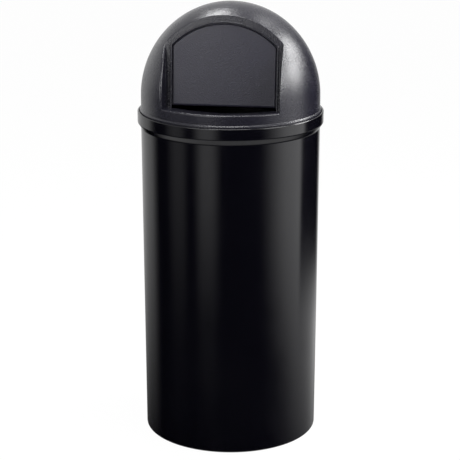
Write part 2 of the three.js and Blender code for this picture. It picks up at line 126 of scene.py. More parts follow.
class Bench:
    """Modelling with operators, on one object at a time."""

    FINE = 2e-6

    @staticmethod
    def take(obj: bpy.types.Object) -> None:
        """Leaves edit mode, and selects one object alone and makes it active."""
        if bpy.context.object and bpy.context.object.mode != "OBJECT":
            bpy.ops.object.mode_set(mode="OBJECT")
        bpy.ops.object.select_all(action="DESELECT")
        obj.select_set(True)
        bpy.context.view_layer.objects.active = obj

    @classmethod
    @contextmanager
    def editing(cls, obj: bpy.types.Object) -> Iterator[None]:
        """Holds an object in edit mode.

        Args:
            obj: The object to edit.
        """
        cls.take(obj)
        bpy.ops.object.mode_set(mode="EDIT")
        bpy.ops.mesh.select_mode(type=Part.VERTS.value)
        yield
        bpy.ops.object.mode_set(mode="OBJECT")

    @staticmethod
    def pick(part: Part, test: Callable[[object], bool]) -> int:
        """Selects, in edit mode, the vertices, edges or faces that pass a test.

        Args:
            part: What to select.
            test: Says whether one of them is wanted.

        Returns:
            How many were selected.
        """
        bpy.ops.mesh.select_mode(type=part.value)
        bpy.ops.mesh.select_all(action="DESELECT")
        mesh = bpy.context.edit_object.data
        shape = bmesh.from_edit_mesh(mesh)
        found = {Part.VERTS: shape.verts, Part.EDGES: shape.edges, Part.FACES: shape.faces}[part]
        wanted = [item for item in found if test(item)]
        for item in wanted:
            item.select_set(True)
        bmesh.update_edit_mesh(mesh)
        return len(wanted)

    @classmethod
    def settle(cls, obj: bpy.types.Object) -> bpy.types.Object:
        """Moves an object's place, turn and scale into its mesh."""
        cls.take(obj)
        bpy.ops.object.transform_apply(location=True, rotation=True, scale=True)
        return obj

    @classmethod
    def line(cls, name: str, points: Sequence[Vector]) -> bpy.types.Object:
        """Draws a line of edges, from a plane drawn together into its first point.

        Args:
            name: The object's name.
            points: The line's points, in order.

        Returns:
            The line, in object mode.
        """
        if bpy.context.object and bpy.context.object.mode != "OBJECT":
            bpy.ops.object.mode_set(mode="OBJECT")
        bpy.ops.object.select_all(action="DESELECT")
        bpy.ops.mesh.primitive_plane_add(size=MM, location=points[0])
        obj = bpy.context.object
        obj.name = name
        with cls.editing(obj):
            bpy.ops.mesh.merge(type="CENTER")
            for before, after in zip(points, points[1:]):
                bpy.ops.mesh.extrude_vertices_move(
                    TRANSFORM_OT_translate={"value": after - before}
                )
        return cls.settle(obj)

    @classmethod
    def close(cls, obj: bpy.types.Object) -> bpy.types.Object:
        """Merges an object's doubles and turns its faces outwards."""
        with cls.editing(obj):
            bpy.ops.mesh.select_all(action="SELECT")
            bpy.ops.mesh.remove_doubles(threshold=cls.FINE)
            bpy.ops.mesh.normals_make_consistent(inside=False)
        return obj

    @classmethod
    def turned(
        cls,
        name: str,
        profile: Sequence[Point],
        steps: int,
        centre: Vector = Vector((0, 0, 0)),
        axis: Vector = Vector((0, 0, 1)),
        radial: Vector = Vector((1, 0, 0)),
    ) -> bpy.types.Object:
        """Spins a profile round an axis into a closed solid.

        Args:
            name: The object's name.
            profile: Points as (radius, distance along the axis).
            steps: Steps round the axis.
            centre: A point on the axis, from which the distances run.
            axis: The axis.
            radial: The direction in which the profile is drawn, square to the axis.

        Returns:
            The solid.
        """
        points = [centre + radial * radius + axis * along for radius, along in profile]
        obj = cls.line(name, points)
        with cls.editing(obj):
            bpy.ops.mesh.select_all(action="SELECT")
            bpy.ops.mesh.spin(steps=steps, angle=2 * math.pi, center=centre, axis=axis)
        return cls.close(obj)

    @classmethod
    def plate(cls, name: str, outline: Sequence[Vector], depth: Vector) -> bpy.types.Object:
        """Fills a flat outline and extrudes it.

        Args:
            name: The object's name.
            outline: The outline's corners, in order.
            depth: How far and which way it is extruded.

        Returns:
            The plate.
        """
        obj = cls.line(name, outline)
        with cls.editing(obj):
            bpy.ops.mesh.select_all(action="SELECT")
            bpy.ops.mesh.edge_face_add()
            bpy.ops.mesh.select_all(action="SELECT")
            bpy.ops.mesh.extrude_region_move(TRANSFORM_OT_translate={"value": depth})
        return cls.close(obj)

    @classmethod
    def block(cls, name: str, low: Vector, high: Vector) -> bpy.types.Object:
        """Adds a box between two corners.

        Args:
            name: The object's name.
            low: The lowest corner.
            high: The highest corner.

        Returns:
            The box, as a start for more shaping.
        """
        if bpy.context.object and bpy.context.object.mode != "OBJECT":
            bpy.ops.object.mode_set(mode="OBJECT")
        bpy.ops.object.select_all(action="DESELECT")
        bpy.ops.mesh.primitive_cube_add(size=1, location=(low + high) / 2, scale=high - low)
        obj = bpy.context.object
        obj.name = name
        return cls.settle(obj)

    @classmethod
    def modify(cls, obj: bpy.types.Object, kind: str, **settings: object) -> bpy.types.Object:
        """Adds a modifier and applies it.

        Args:
            obj: The object.
            kind: The modifier's type.
            settings: Its settings.

        Returns:
            The object.
        """
        cls.take(obj)
        bpy.ops.object.modifier_add(type=kind)
        modifier = obj.modifiers[-1]
        for name, value in settings.items():
            setattr(modifier, name, value)
        bpy.ops.object.modifier_apply(modifier=modifier.name)
        return obj

    @classmethod
    def carve(
        cls, obj: bpy.types.Object, tool: bpy.types.Object, how: str = "DIFFERENCE"
    ) -> bpy.types.Object:
        """Cuts an object with another, joins them or keeps what they share.

        Args:
            obj: The object that stays.
            tool: The other, which is removed.
            how: The boolean's operation.

        Returns:
            The object.
        """
        cls.modify(obj, "BOOLEAN", operation=how, solver="EXACT", object=tool)
        bpy.data.objects.remove(tool)
        return obj

    @classmethod
    def join(cls, obj: bpy.types.Object, *others: bpy.types.Object) -> bpy.types.Object:
        """Joins other objects into one."""
        cls.take(obj)
        for other in others:
            other.select_set(True)
        bpy.ops.object.join()
        return obj

    @classmethod
    def copy(cls, obj: bpy.types.Object, name: str) -> bpy.types.Object:
        """Copies an object together with its mesh."""
        cls.take(obj)
        bpy.ops.object.duplicate(linked=False)
        twin = bpy.context.object
        twin.name = name
        return twin

    @classmethod
    def mirrored(cls, obj: bpy.types.Object, name: str) -> bpy.types.Object:
        """Copies an object to the other side of the plane X = 0."""
        twin = cls.copy(obj, name)
        twin.scale.x = -1
        cls.settle(twin)
        return cls.close(twin)

    @classmethod
    def round_edges(
        cls,
        obj: bpy.types.Object,
        width: float,
        segments: int = 3,
        sharper_than: float = 25,
        near: Callable[[Vector], bool] | None = None,
    ) -> bpy.types.Object:
        """Rounds an object's sharp edges.

        Args:
            obj: The object.
            width: The rounding's width.
            segments: Its segments.
            sharper_than: The least angle between an edge's faces, in degrees.
            near: Says of an edge's middle whether that edge is wanted.

        Returns:
            The object.
        """
        limit = math.radians(sharper_than)

        def wanted(edge: bmesh.types.BMEdge) -> bool:
            """Whether an edge is sharp and in the right place."""
            if len(edge.link_faces) != 2 or edge.calc_face_angle(0) < limit:
                return False
            middle = (edge.verts[0].co + edge.verts[1].co) / 2
            return near is None or near(middle)

        with cls.editing(obj):
            if cls.pick(Part.EDGES, wanted):
                bpy.ops.mesh.bevel(
                    offset=width, segments=segments, affect="EDGES", clamp_overlap=False
                )
        return obj

    @classmethod
    def smooth(cls, obj: bpy.types.Object, degrees: float = 32) -> bpy.types.Object:
        """Shades an object smooth below an angle, with its flats kept flat."""
        cls.take(obj)
        bpy.ops.object.shade_smooth_by_angle(angle=math.radians(degrees))
        return cls.modify(obj, "WEIGHTED_NORMAL", keep_sharp=True, weight=80)


class Draw:
    """Outlines and profiles, worked out as points."""

    @staticmethod
    def rounded(corners: Sequence[Corner], steps: int = 5) -> list[Point]:
        """Rounds the corners of a profile.

        Args:
            corners: Corners as (radius, height, rounding), the rounding 0 where it stays sharp.
            steps: Steps in each rounding.

        Returns:
            The profile's points.
        """
        points: list[Point] = []
        for i, (x, y, rounding) in enumerate(corners):
            here = Vector((x, y))
            if rounding == 0 or i in (0, len(corners) - 1):
                points.append((x, y))
                continue
            back = (Vector(corners[i - 1][:2]) - here).normalized()
            on = (Vector(corners[i + 1][:2]) - here).normalized()
            half = back.angle(on) / 2
            reach = rounding / math.tan(half)
            middle = here + (back + on).normalized() * (rounding / math.sin(half))
            first = here + back * reach - middle
            sweep = first.angle_signed(here + on * reach - middle)
            for step in range(steps + 1):
                turn = -sweep * step / steps
                cos, sin = math.cos(turn), math.sin(turn)
                points.append(
                    (
                        middle.x + first.x * cos - first.y * sin,
                        middle.y + first.x * sin + first.y * cos,
                    )
                )
        return points

    @staticmethod
    def arch(half_width: float, radius: float, top: float, bottom: float, steps: int) -> list[Point]:
        """Straight sides under a flat arc.

        Args:
            half_width: Half the width between the sides.
            radius: The arc's radius.
            top: The arc's highest point.
            bottom: The lower ends of the sides.
            steps: Steps in the arc.

        Returns:
            Points as (across, up), from the lower left corner round to the lower right.
        """
        reach = math.asin(half_width / radius)
        arc = [
            (radius * math.sin(a), top - radius + radius * math.cos(a))
            for a in (reach * (2 * i / steps - 1) for i in range(steps + 1))
        ]
        return [(-half_width, bottom), *arc, (half_width, bottom)]


@dataclass(frozen=True)
class Facet:
    """The leaning flat of the dome that the door stands in.

    Attributes:
        lean: How far the flat leans back, in radians.
        depth: From the dome's axis to the flat, at its own height.
        height: The height at which that depth is measured.
    """

    lean: float = math.radians(7)
    depth: float = 82.3 * MM
    height: float = 860 * MM

    @property
    def out(self) -> Vector:
        """The flat's outward normal."""
        return Vector((0, -math.cos(self.lean), math.sin(self.lean)))

    @property
    def up(self) -> Vector:
        """The flat's own upward direction."""
        return Vector((0, math.sin(self.lean), math.cos(self.lean)))

    def point(self, across: float, up: float, out: float = 0.0) -> Vector:
        """A place by its distances across, up and out of the flat."""
        foot = Vector((across, -self.depth, self.height))
        return foot + self.up * up + self.out * out

    def rise(self, z: float) -> float:
        """The distance up the flat of a height."""
        return (z - self.height) / math.cos(self.lean)

    def plate(
        self, name: str, outline: Sequence[Point], back: float, front: float
    ) -> bpy.types.Object:
        """A plate parallel to the flat.

        Args:
            name: The object's name.
            outline: Its outline as (across, up).
            back: How far its back stands out of the flat.
            front: The same for its front.

        Returns:
            The plate.
        """
        places = [self.point(x, up, back) for x, up in outline]
        return Bench.plate(name, places, self.out * (front - back))


FACET = Facet()


# ---------------------------------------------------------------- finishes


class Wire:
    """A shader socket that takes part in Python expressions on values."""

    def __init__(self, graph: "Graph", socket: bpy.types.NodeSocket) -> None:
        """Wraps a socket of a graph."""
        self.graph = graph
        self.socket = socket

    def _maths(self, operation: str, first: object, second: object) -> "Wire":
        """Adds one Math node."""
        return self.graph.add("ShaderNodeMath", {"operation": operation}, {0: first, 1: second})

    def __add__(self, other: object) -> "Wire":
        """The sum."""
        return self._maths("ADD", self, other)

    def __radd__(self, other: object) -> "Wire":
        """The sum, reflected."""
        return self._maths("ADD", other, self)

    def __sub__(self, other: object) -> "Wire":
        """The difference."""
        return self._maths("SUBTRACT", self, other)

    def __rsub__(self, other: object) -> "Wire":
        """The difference, reflected."""
        return self._maths("SUBTRACT", other, self)

    def __mul__(self, other: object) -> "Wire":
        """The product."""
        return self._maths("MULTIPLY", self, other)

    def __rmul__(self, other: object) -> "Wire":
        """The product, reflected."""
        return self._maths("MULTIPLY", other, self)

    def __pow__(self, other: object) -> "Wire":
        """The power."""
        return self._maths("POWER", self, other)

    def ramp(self, low: float, high: float, bottom: float = 0.0, top: float = 1.0) -> "Wire":
        """A smooth climb from one value to another.

        Args:
            low: Where the climb starts.
            high: Where it ends.
            bottom: The value before it.
            top: The value after it.

        Returns:
            The climb's value.
        """
        return self.graph.add(
            "ShaderNodeMapRange",
            {"interpolation_type": "SMOOTHSTEP"},
            {
                "Value": self,
                "From Min": low,
                "From Max": high,
                "To Min": bottom,
                "To Max": top,
            },
        )


class Graph:
    """The node graph of a material, or of the world."""

    def __init__(self, tree: bpy.types.NodeTree) -> None:
        """Empties a tree and starts it again."""
        self.tree = tree
        self.tree.nodes.clear()

    def add(
        self,
        kind: str,
        settings: dict[str, object] | None = None,
        sockets: dict[object, object] | None = None,
        output: object = 0,
    ) -> Wire:
        """Adds a node.

        Args:
            kind: The node's type.
            settings: The node's own settings, set before its sockets.
            sockets: Values or wires, by the input's name or number.
            output: The output that is wanted.

        Returns:
            That output.
        """
        node = self.tree.nodes.new(kind)
        for name, value in (settings or {}).items():
            setattr(node, name, value)
        for name, value in (sockets or {}).items():
            if isinstance(value, Wire):
                self.tree.links.new(value.socket, node.inputs[name])
            else:
                node.inputs[name].default_value = value
        return Wire(self, node.outputs[output]) if len(node.outputs) else Wire(self, None)

    def place(self) -> Wire:
        """The place on the object, in metres."""
        return self.add("ShaderNodeTexCoord", output="Object")

    def noise(self, vector: Wire, scale: float, detail: float = 3, roughness: float = 0.55) -> Wire:
        """A noise of about one hump in each 1/scale metres.

        Args:
            vector: Where it is read.
            scale: Humps a metre.
            detail: Finer layers.
            roughness: The finer layers' strength.

        Returns:
            Its value, from 0 to 1.
        """
        sockets = {"Vector": vector, "Scale": scale, "Detail": detail, "Roughness": roughness}
        return self.add("ShaderNodeTexNoise", {}, sockets)

    def stretched(self, vector: Wire, scale: Colour) -> Wire:
        """A vector scaled by its three directions."""
        return self.add("ShaderNodeMapping", {}, {"Vector": vector, "Scale": scale})

    def blend(self, factor: object, first: object, second: object) -> Wire:
        """A colour between two others.

        Args:
            factor: 0 for the first, 1 for the second.
            first: The first colour.
            second: The second.

        Returns:
            The colour.
        """
        sockets = {"Factor": factor, 6: first, 7: second}
        return self.add("ShaderNodeMix", {"data_type": "RGBA"}, sockets, output=2)

    def bump(self, height: Wire, depth: float, strength: float = 1.0) -> Wire:
        """A normal from a height.

        Args:
            height: The height, from 0 to 1.
            depth: Metres from the lowest to the highest.
            strength: The share of it that shows.

        Returns:
            The normal.
        """
        sockets = {"Height": height, "Distance": depth, "Strength": strength}
        return self.add("ShaderNodeBump", {}, sockets)


def linear(colour: Colour, gain: float = 1.0) -> tuple[float, float, float, float]:
    """A colour with its alpha, brightened or darkened."""
    return (colour[0] * gain, colour[1] * gain, colour[2] * gain, 1.0)


@dataclass(frozen=True)
class Finish:
    """A surface finish.

    Attributes:
        name: The material's name.
        colour: Its colour, linear.
        roughness: Its middle roughness.
        specular: The strength of its reflection.
    """

    name: str
    colour: Colour
    roughness: float
    specular: float = 0.5

    def make(self) -> bpy.types.Material:
        """Builds the material.

        Returns:
            The material.
        """
        material = bpy.data.materials.new(self.name)
        material.use_nodes = True
        graph = Graph(material.node_tree)
        sockets = {"Specular IOR Level": self.specular}
        sockets.update(self.surface(graph, graph.place()))
        shader = graph.add("ShaderNodeBsdfPrincipled", {}, sockets)
        graph.add("ShaderNodeOutputMaterial", {}, {"Surface": shader})
        return material

    def surface(self, graph: Graph, place: Wire) -> dict[object, object]:
        """The shader's own sockets.

        Args:
            graph: The material's graph.
            place: The place on the object.

        Returns:
            Values or wires by the socket's name.
        """
        return {"Base Color": linear(self.colour), "Roughness": self.roughness}


@dataclass(frozen=True)
class GrainedPlastic(Finish):
    """Moulded plastic with a fine pebble grain.

    Attributes:
        grain: Pebbles a metre.
        depth: How deep the grain is.
    """

    grain: float = 480.0
    depth: float = 0.32 * MM

    def surface(self, graph: Graph, place: Wire) -> dict[object, object]:
        """The shader's sockets: pebbles, cloudy gloss and faint rub marks.

        Args:
            graph: The material's graph.
            place: The place on the object.

        Returns:
            Values or wires by the socket's name.
        """
        pebbles = graph.add(
            "ShaderNodeTexVoronoi",
            {"feature": "SMOOTH_F1"},
            {"Vector": place, "Scale": self.grain, "Smoothness": 0.6},
        )
        fine = graph.noise(place, self.grain * 2.3, 2)
        coarse = graph.noise(place, self.grain * 0.6, 2)
        height = pebbles * 0.8 + fine * 0.35 + coarse * 0.5
        cloud = graph.noise(place, 14, 4)
        rub = graph.noise(graph.stretched(place, (60, 60, 9)), 1, 5, 0.65).ramp(0.62, 0.78)
        pits = pebbles.ramp(0.25, 0.7)
        tone = graph.blend(cloud, linear(self.colour, 0.8), linear(self.colour, 1.25))
        worn = graph.blend(rub * 0.35, tone, linear(self.colour, 2.0))
        speckle = coarse.ramp(0.45, 0.62)
        colour = graph.blend(pits * 0.3 + speckle * 0.3, worn, linear(self.colour, 2.2))
        roughness = cloud.ramp(0.25, 0.75, self.roughness - 0.03, self.roughness + 0.05)
        return {
            "Base Color": colour,
            "Roughness": roughness - rub * 0.05 + pits * 0.05,
            "Normal": graph.bump(height, self.depth),
        }


@dataclass(frozen=True)
class SmoothPlastic(Finish):
    """Smooth moulded plastic with a soft gloss.

    Attributes:
        ripple: How deep the slow waves of the moulding are.
    """

    ripple: float = 0.05 * MM

    def surface(self, graph: Graph, place: Wire) -> dict[object, object]:
        """The shader's sockets: a slight orange peel, slow waves, faint scuffs.

        Args:
            graph: The material's graph.
            place: The place on the object.

        Returns:
            Values or wires by the socket's name.
        """
        peel = graph.noise(place, 420, 3)
        waves = graph.noise(graph.stretched(place, (1, 1, 0.35)), 16, 2)
        scuffs = graph.noise(graph.stretched(place, (90, 90, 7)), 1, 6, 0.7).ramp(0.6, 0.76)
        cloud = graph.noise(place, 9, 4)
        tone = graph.blend(cloud, linear(self.colour, 0.75), linear(self.colour, 1.25))
        colour = graph.blend(scuffs * 0.4, tone, linear(self.colour, 2.4))
        normal = graph.bump(peel * 0.25 + waves, self.ripple)
        roughness = cloud.ramp(0.3, 0.7, self.roughness - 0.02, self.roughness + 0.03)
        return {
            "Base Color": colour,
            "Roughness": roughness + scuffs * 0.08 + peel * 0.03,
            "Normal": normal,
        }


@dataclass(frozen=True)
class PlatedSteel(Finish):
    """Zinc-plated or drawn steel.

    Attributes:
        along: How the drawing marks stretch in the three directions.
    """

    along: Colour = (40, 900, 900)

    def surface(self, graph: Graph, place: Wire) -> dict[object, object]:
        """The shader's sockets: fine marks along the piece and a mottled plating.

        Args:
            graph: The material's graph.
            place: The place on the object.

        Returns:
            Values or wires by the socket's name.
        """
        marks = graph.noise(graph.stretched(place, self.along), 1, 4, 0.6)
        mottle = graph.noise(place, 260, 3)
        colour = graph.blend(mottle, linear(self.colour, 0.8), linear(self.colour, 1.15))
        return {
            "Base Color": colour,
            "Metallic": 1.0,
            "Roughness": marks * 0.16 + mottle * 0.1 + (self.roughness - 0.13),
            "Normal": graph.bump(marks, 0.02 * MM),
        }


@dataclass(frozen=True)
class Rubber(Finish):
    """Matt rubber with a fine bloom."""

    def surface(self, graph: Graph, place: Wire) -> dict[object, object]:
        """The shader's sockets: a dusty bloom over a fine grain.

        Args:
            graph: The material's graph.
            place: The place on the object.

        Returns:
            Values or wires by the socket's name.
        """
        bloom = graph.noise(place, 180, 5)
        grain = graph.noise(place, 2400, 2)
        colour = graph.blend(bloom, linear(self.colour, 0.7), linear(self.colour, 1.8))
        return {
            "Base Color": colour,
            "Roughness": bloom * 0.12 + self.roughness,
            "Normal": graph.bump(grain, 0.04 * MM),
        }


class Wardrobe:
    """The finishes, by the record's slots."""

    def __init__(self) -> None:
        """Builds each finish once."""
        finishes = {
            Slot.BODY: SmoothPlastic("smooth_black", (0.0015, 0.0014, 0.0028), 0.12, 0.5),
            Slot.DOME: GrainedPlastic("grained_black", (0.0068, 0.0065, 0.0108), 0.22, 0.5),
            Slot.DOOR: GrainedPlastic("grained_black_door", (0.009, 0.0085, 0.0165), 0.32, 0.5),
            Slot.RING: SmoothPlastic("dark_grey", (0.05, 0.05, 0.055), 0.42, 0.5),
            Slot.STEEL: PlatedSteel("zinc_plated_steel", (0.62, 0.63, 0.65), 0.34),
            Slot.SPRING: PlatedSteel("spring_wire", (0.42, 0.43, 0.45), 0.28),
            Slot.NYLON: GrainedPlastic("natural_nylon", (0.72, 0.7, 0.63), 0.42, 0.5, 900, 0.03 * MM),
            Slot.RUBBER: Rubber("black_rubber", (0.02, 0.02, 0.021), 0.75, 0.3),
        }
        self.materials = {slot: finish.make() for slot, finish in finishes.items()}

    def of(self, slot: Slot) -> bpy.types.Material:
        """The material of a slot."""
        return self.materials[slot]


# ---------------------------------------------------------------- sub-assemblies


@dataclass
class SubAssembly:
    """What every sub-assembly shares.

    Attributes:
        wardrobe: The finishes.
        pieces: The pieces made so far.
    """

    wardrobe: Wardrobe
    pieces: list[bpy.types.Object] = field(default_factory=list)

    def dress(self, piece: bpy.types.Object, slot: Slot) -> None:
        """Gives a piece its finish and its shading."""
        piece.data.materials.clear()
        piece.data.materials.append(self.wardrobe.of(slot))
        Bench.smooth(piece)
        self.pieces.append(piece)

    def fit(self, piece: bpy.types.Object, body: Body, slot: Slot, *nodes: str) -> None:
        """Dresses a piece and ties it to its body.

        Args:
            piece: The finished mesh.
            body: The body that it moves with.
            slot: The slot of its finish.
            nodes: The plain solids that it stands for.
        """
        self.dress(piece, slot)
        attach(piece, body.value)
        if nodes:
            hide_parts(*nodes)
        LOG.info("%s rides on %s, %d faces", piece.name, body.value, len(piece.data.polygons))


@dataclass
class Container(SubAssembly):
    """The round container: a smooth tapering wall, its collar and the lugs that hold the ring.

    Attributes:
        foot_radius: Outside of the wall at the floor.
        shoulder_radius: Outside of the wall under the collar.
        collar_radius: Outside of the collar.
        collar_bottom: Where the wall meets the collar.
        collar_top: The rim.
        collar_wall: The collar's thickness.
        seat: The ledge that carries the dome.
        wall: The wall's thickness.
        steps: Steps round the wall.
    """

    foot_radius: float = 184.6 * MM
    shoulder_radius: float = 188 * MM
    collar_radius: float = 195.25 * MM
    collar_bottom: float = 673.6 * MM
    collar_top: float = 701.6 * MM
    collar_wall: float = 4 * MM
    seat: float = 683 * MM
    wall: float = 3.5 * MM
    steps: int = 192
    lug_top: float = 663 * MM
    lug_reach: float = 5 * MM
    lug_width: float = 24 * MM
    lug_height: float = 4 * MM
    lug_gusset: float = 8 * MM
    lug_turns: tuple[int, ...] = (30, 90, 150, 210, 270, 330)

    def radius_at(self, z: float) -> float:
        """The outside of the wall at a height."""
        taper = (self.shoulder_radius - self.foot_radius) / self.collar_bottom
        return self.foot_radius + taper * z

    def shell(self) -> bpy.types.Object:
        """The turned wall, floor and collar.

        Returns:
            The shell.
        """
        bore = self.collar_radius - self.collar_wall
        mouth = self.radius_at(self.seat) - self.wall
        low, high = 667.8 * MM, 678.2 * MM
        profile = [
            (0, 6 * MM, 0),
            (157 * MM, 6 * MM, 2 * MM),
            (163 * MM, 0, 1.5 * MM),
            (self.foot_radius, 0, 3.5 * MM),
            *(
                (self.radius_at(z * MM), z * MM, 0)
                for z in (60, 140, 220, 300, 380, 460, 540, 620)
            ),
            (self.radius_at(low), low, 7 * MM),
            (self.collar_radius, high, 5 * MM),
            (self.collar_radius, self.collar_top, 1.8 * MM),
            (bore, self.collar_top, 0.9 * MM),
            (bore, self.seat, 0.6 * MM),
            (mouth, self.seat, 0.8 * MM),
            (self.radius_at(4 * MM) - self.wall, 4 * MM, 7 * MM),
            (163 * MM, 4 * MM, 1 * MM),
            (157 * MM, 10 * MM, 2 * MM),
            (0, 10 * MM, 0),
        ]
        return Bench.turned("container_shell", Draw.rounded(profile), self.steps)

    def lug(self) -> bpy.types.Object:
        """One lug on the wall's inside, on +X: a flat top over a sloping gusset.

        Returns:
            The lug.
        """
        wall = self.radius_at(self.lug_top) - self.wall
        inner = wall - self.lug_reach
        knee = self.lug_top - self.lug_height
        low = knee - self.lug_gusset
        half = self.lug_width / 2
        lug = Bench.block(
            "lug", Vector((inner, -half, low)), Vector((wall + 1 * MM, half, self.lug_top))
        )
        with Bench.editing(lug):
            bpy.ops.mesh.select_all(action="SELECT")
            bpy.ops.mesh.bisect(plane_co=(0, 0, knee), plane_no=(0, 0, 1))
            Bench.pick(Part.VERTS, lambda v: v.co.z < low + 1e-5 and v.co.x < inner + 1e-5)
            bpy.ops.transform.translate(value=(self.lug_reach, 0, 0))
        return Bench.round_edges(lug, 0.8 * MM, 2)

    def build(self) -> None:
        """Builds the container and its lugs, and fits them as one piece."""
        shell = self.shell()
        lug = self.lug()
        lugs = []
        for turn in self.lug_turns:
            twin = Bench.copy(lug, f"lug_{turn}")
            twin.rotation_euler.z = math.radians(turn)
            lugs.append(Bench.settle(twin))
        bpy.data.objects.remove(lug)
        Bench.join(shell, *lugs)
        self.fit(shell, Body.CONTAINER, Slot.BODY, "container_body")


@dataclass
class BagRing(SubAssembly):
    """The ring that holds the bag's hem: a flange on the lugs, a hoop and two finger tabs.

    Attributes:
        flange_radius: Outside of the flange.
        hoop_radius: Outside of the hoop.
        thickness: The ring's wall.
        drop: How far the hoop hangs below the flange.
        bottom: The flange's underside.
    """

    flange_radius: float = 183.95 * MM
    hoop_radius: float = 178.95 * MM
    thickness: float = 2 * MM
    drop: float = 28 * MM
    bottom: float = 663.35 * MM
    tab_reach: float = 12 * MM
    tab_width: float = 30 * MM

    def tab(self) -> bpy.types.Object:
        """A finger tab with rounded corners, on +X.

        Returns:
            The tab.
        """
        outer = self.hoop_radius - self.thickness / 2
        inner = self.hoop_radius - self.thickness - self.tab_reach
        half = self.tab_width / 2
        tab = Bench.block(
            "tab",
            Vector((inner, -half, self.bottom + 0.02 * MM)),
            Vector((outer, half, self.bottom + self.thickness - 0.02 * MM)),
        )
        with Bench.editing(tab):
            Bench.pick(
                Part.EDGES,
                lambda e: all(v.co.x < inner + 1e-5 for v in e.verts)
                and abs(e.verts[0].co.z - e.verts[1].co.z) > MM,
            )
            bpy.ops.mesh.bevel(offset=6 * MM, segments=6, affect="EDGES")
        return Bench.round_edges(tab, 0.5 * MM, 2, 50)

    def build(self) -> None:
        """Builds the ring and fits it."""
        inner = self.hoop_radius - self.thickness
        top = self.bottom + self.thickness
        end = self.bottom - self.drop
        profile = [
            (inner, top - 4 * MM, 0),
            (inner, end, 0.8 * MM),
            (self.hoop_radius, end, 0.8 * MM),
            (self.hoop_radius, self.bottom, 0.8 * MM),
            (self.flange_radius, self.bottom, 0.6 * MM),
            (self.flange_radius, top, 0.8 * MM),
            (inner, top, 1.6 * MM),
            (inner, top - 4 * MM, 0),
        ]
        ring = Bench.turned("bag_ring_hoop", Draw.rounded(profile), 160)
        tab = self.tab()
        Bench.join(ring, Bench.mirrored(tab, "tab_left"), tab)
        self.fit(ring, Body.RING, Slot.RING, "bag_ring")


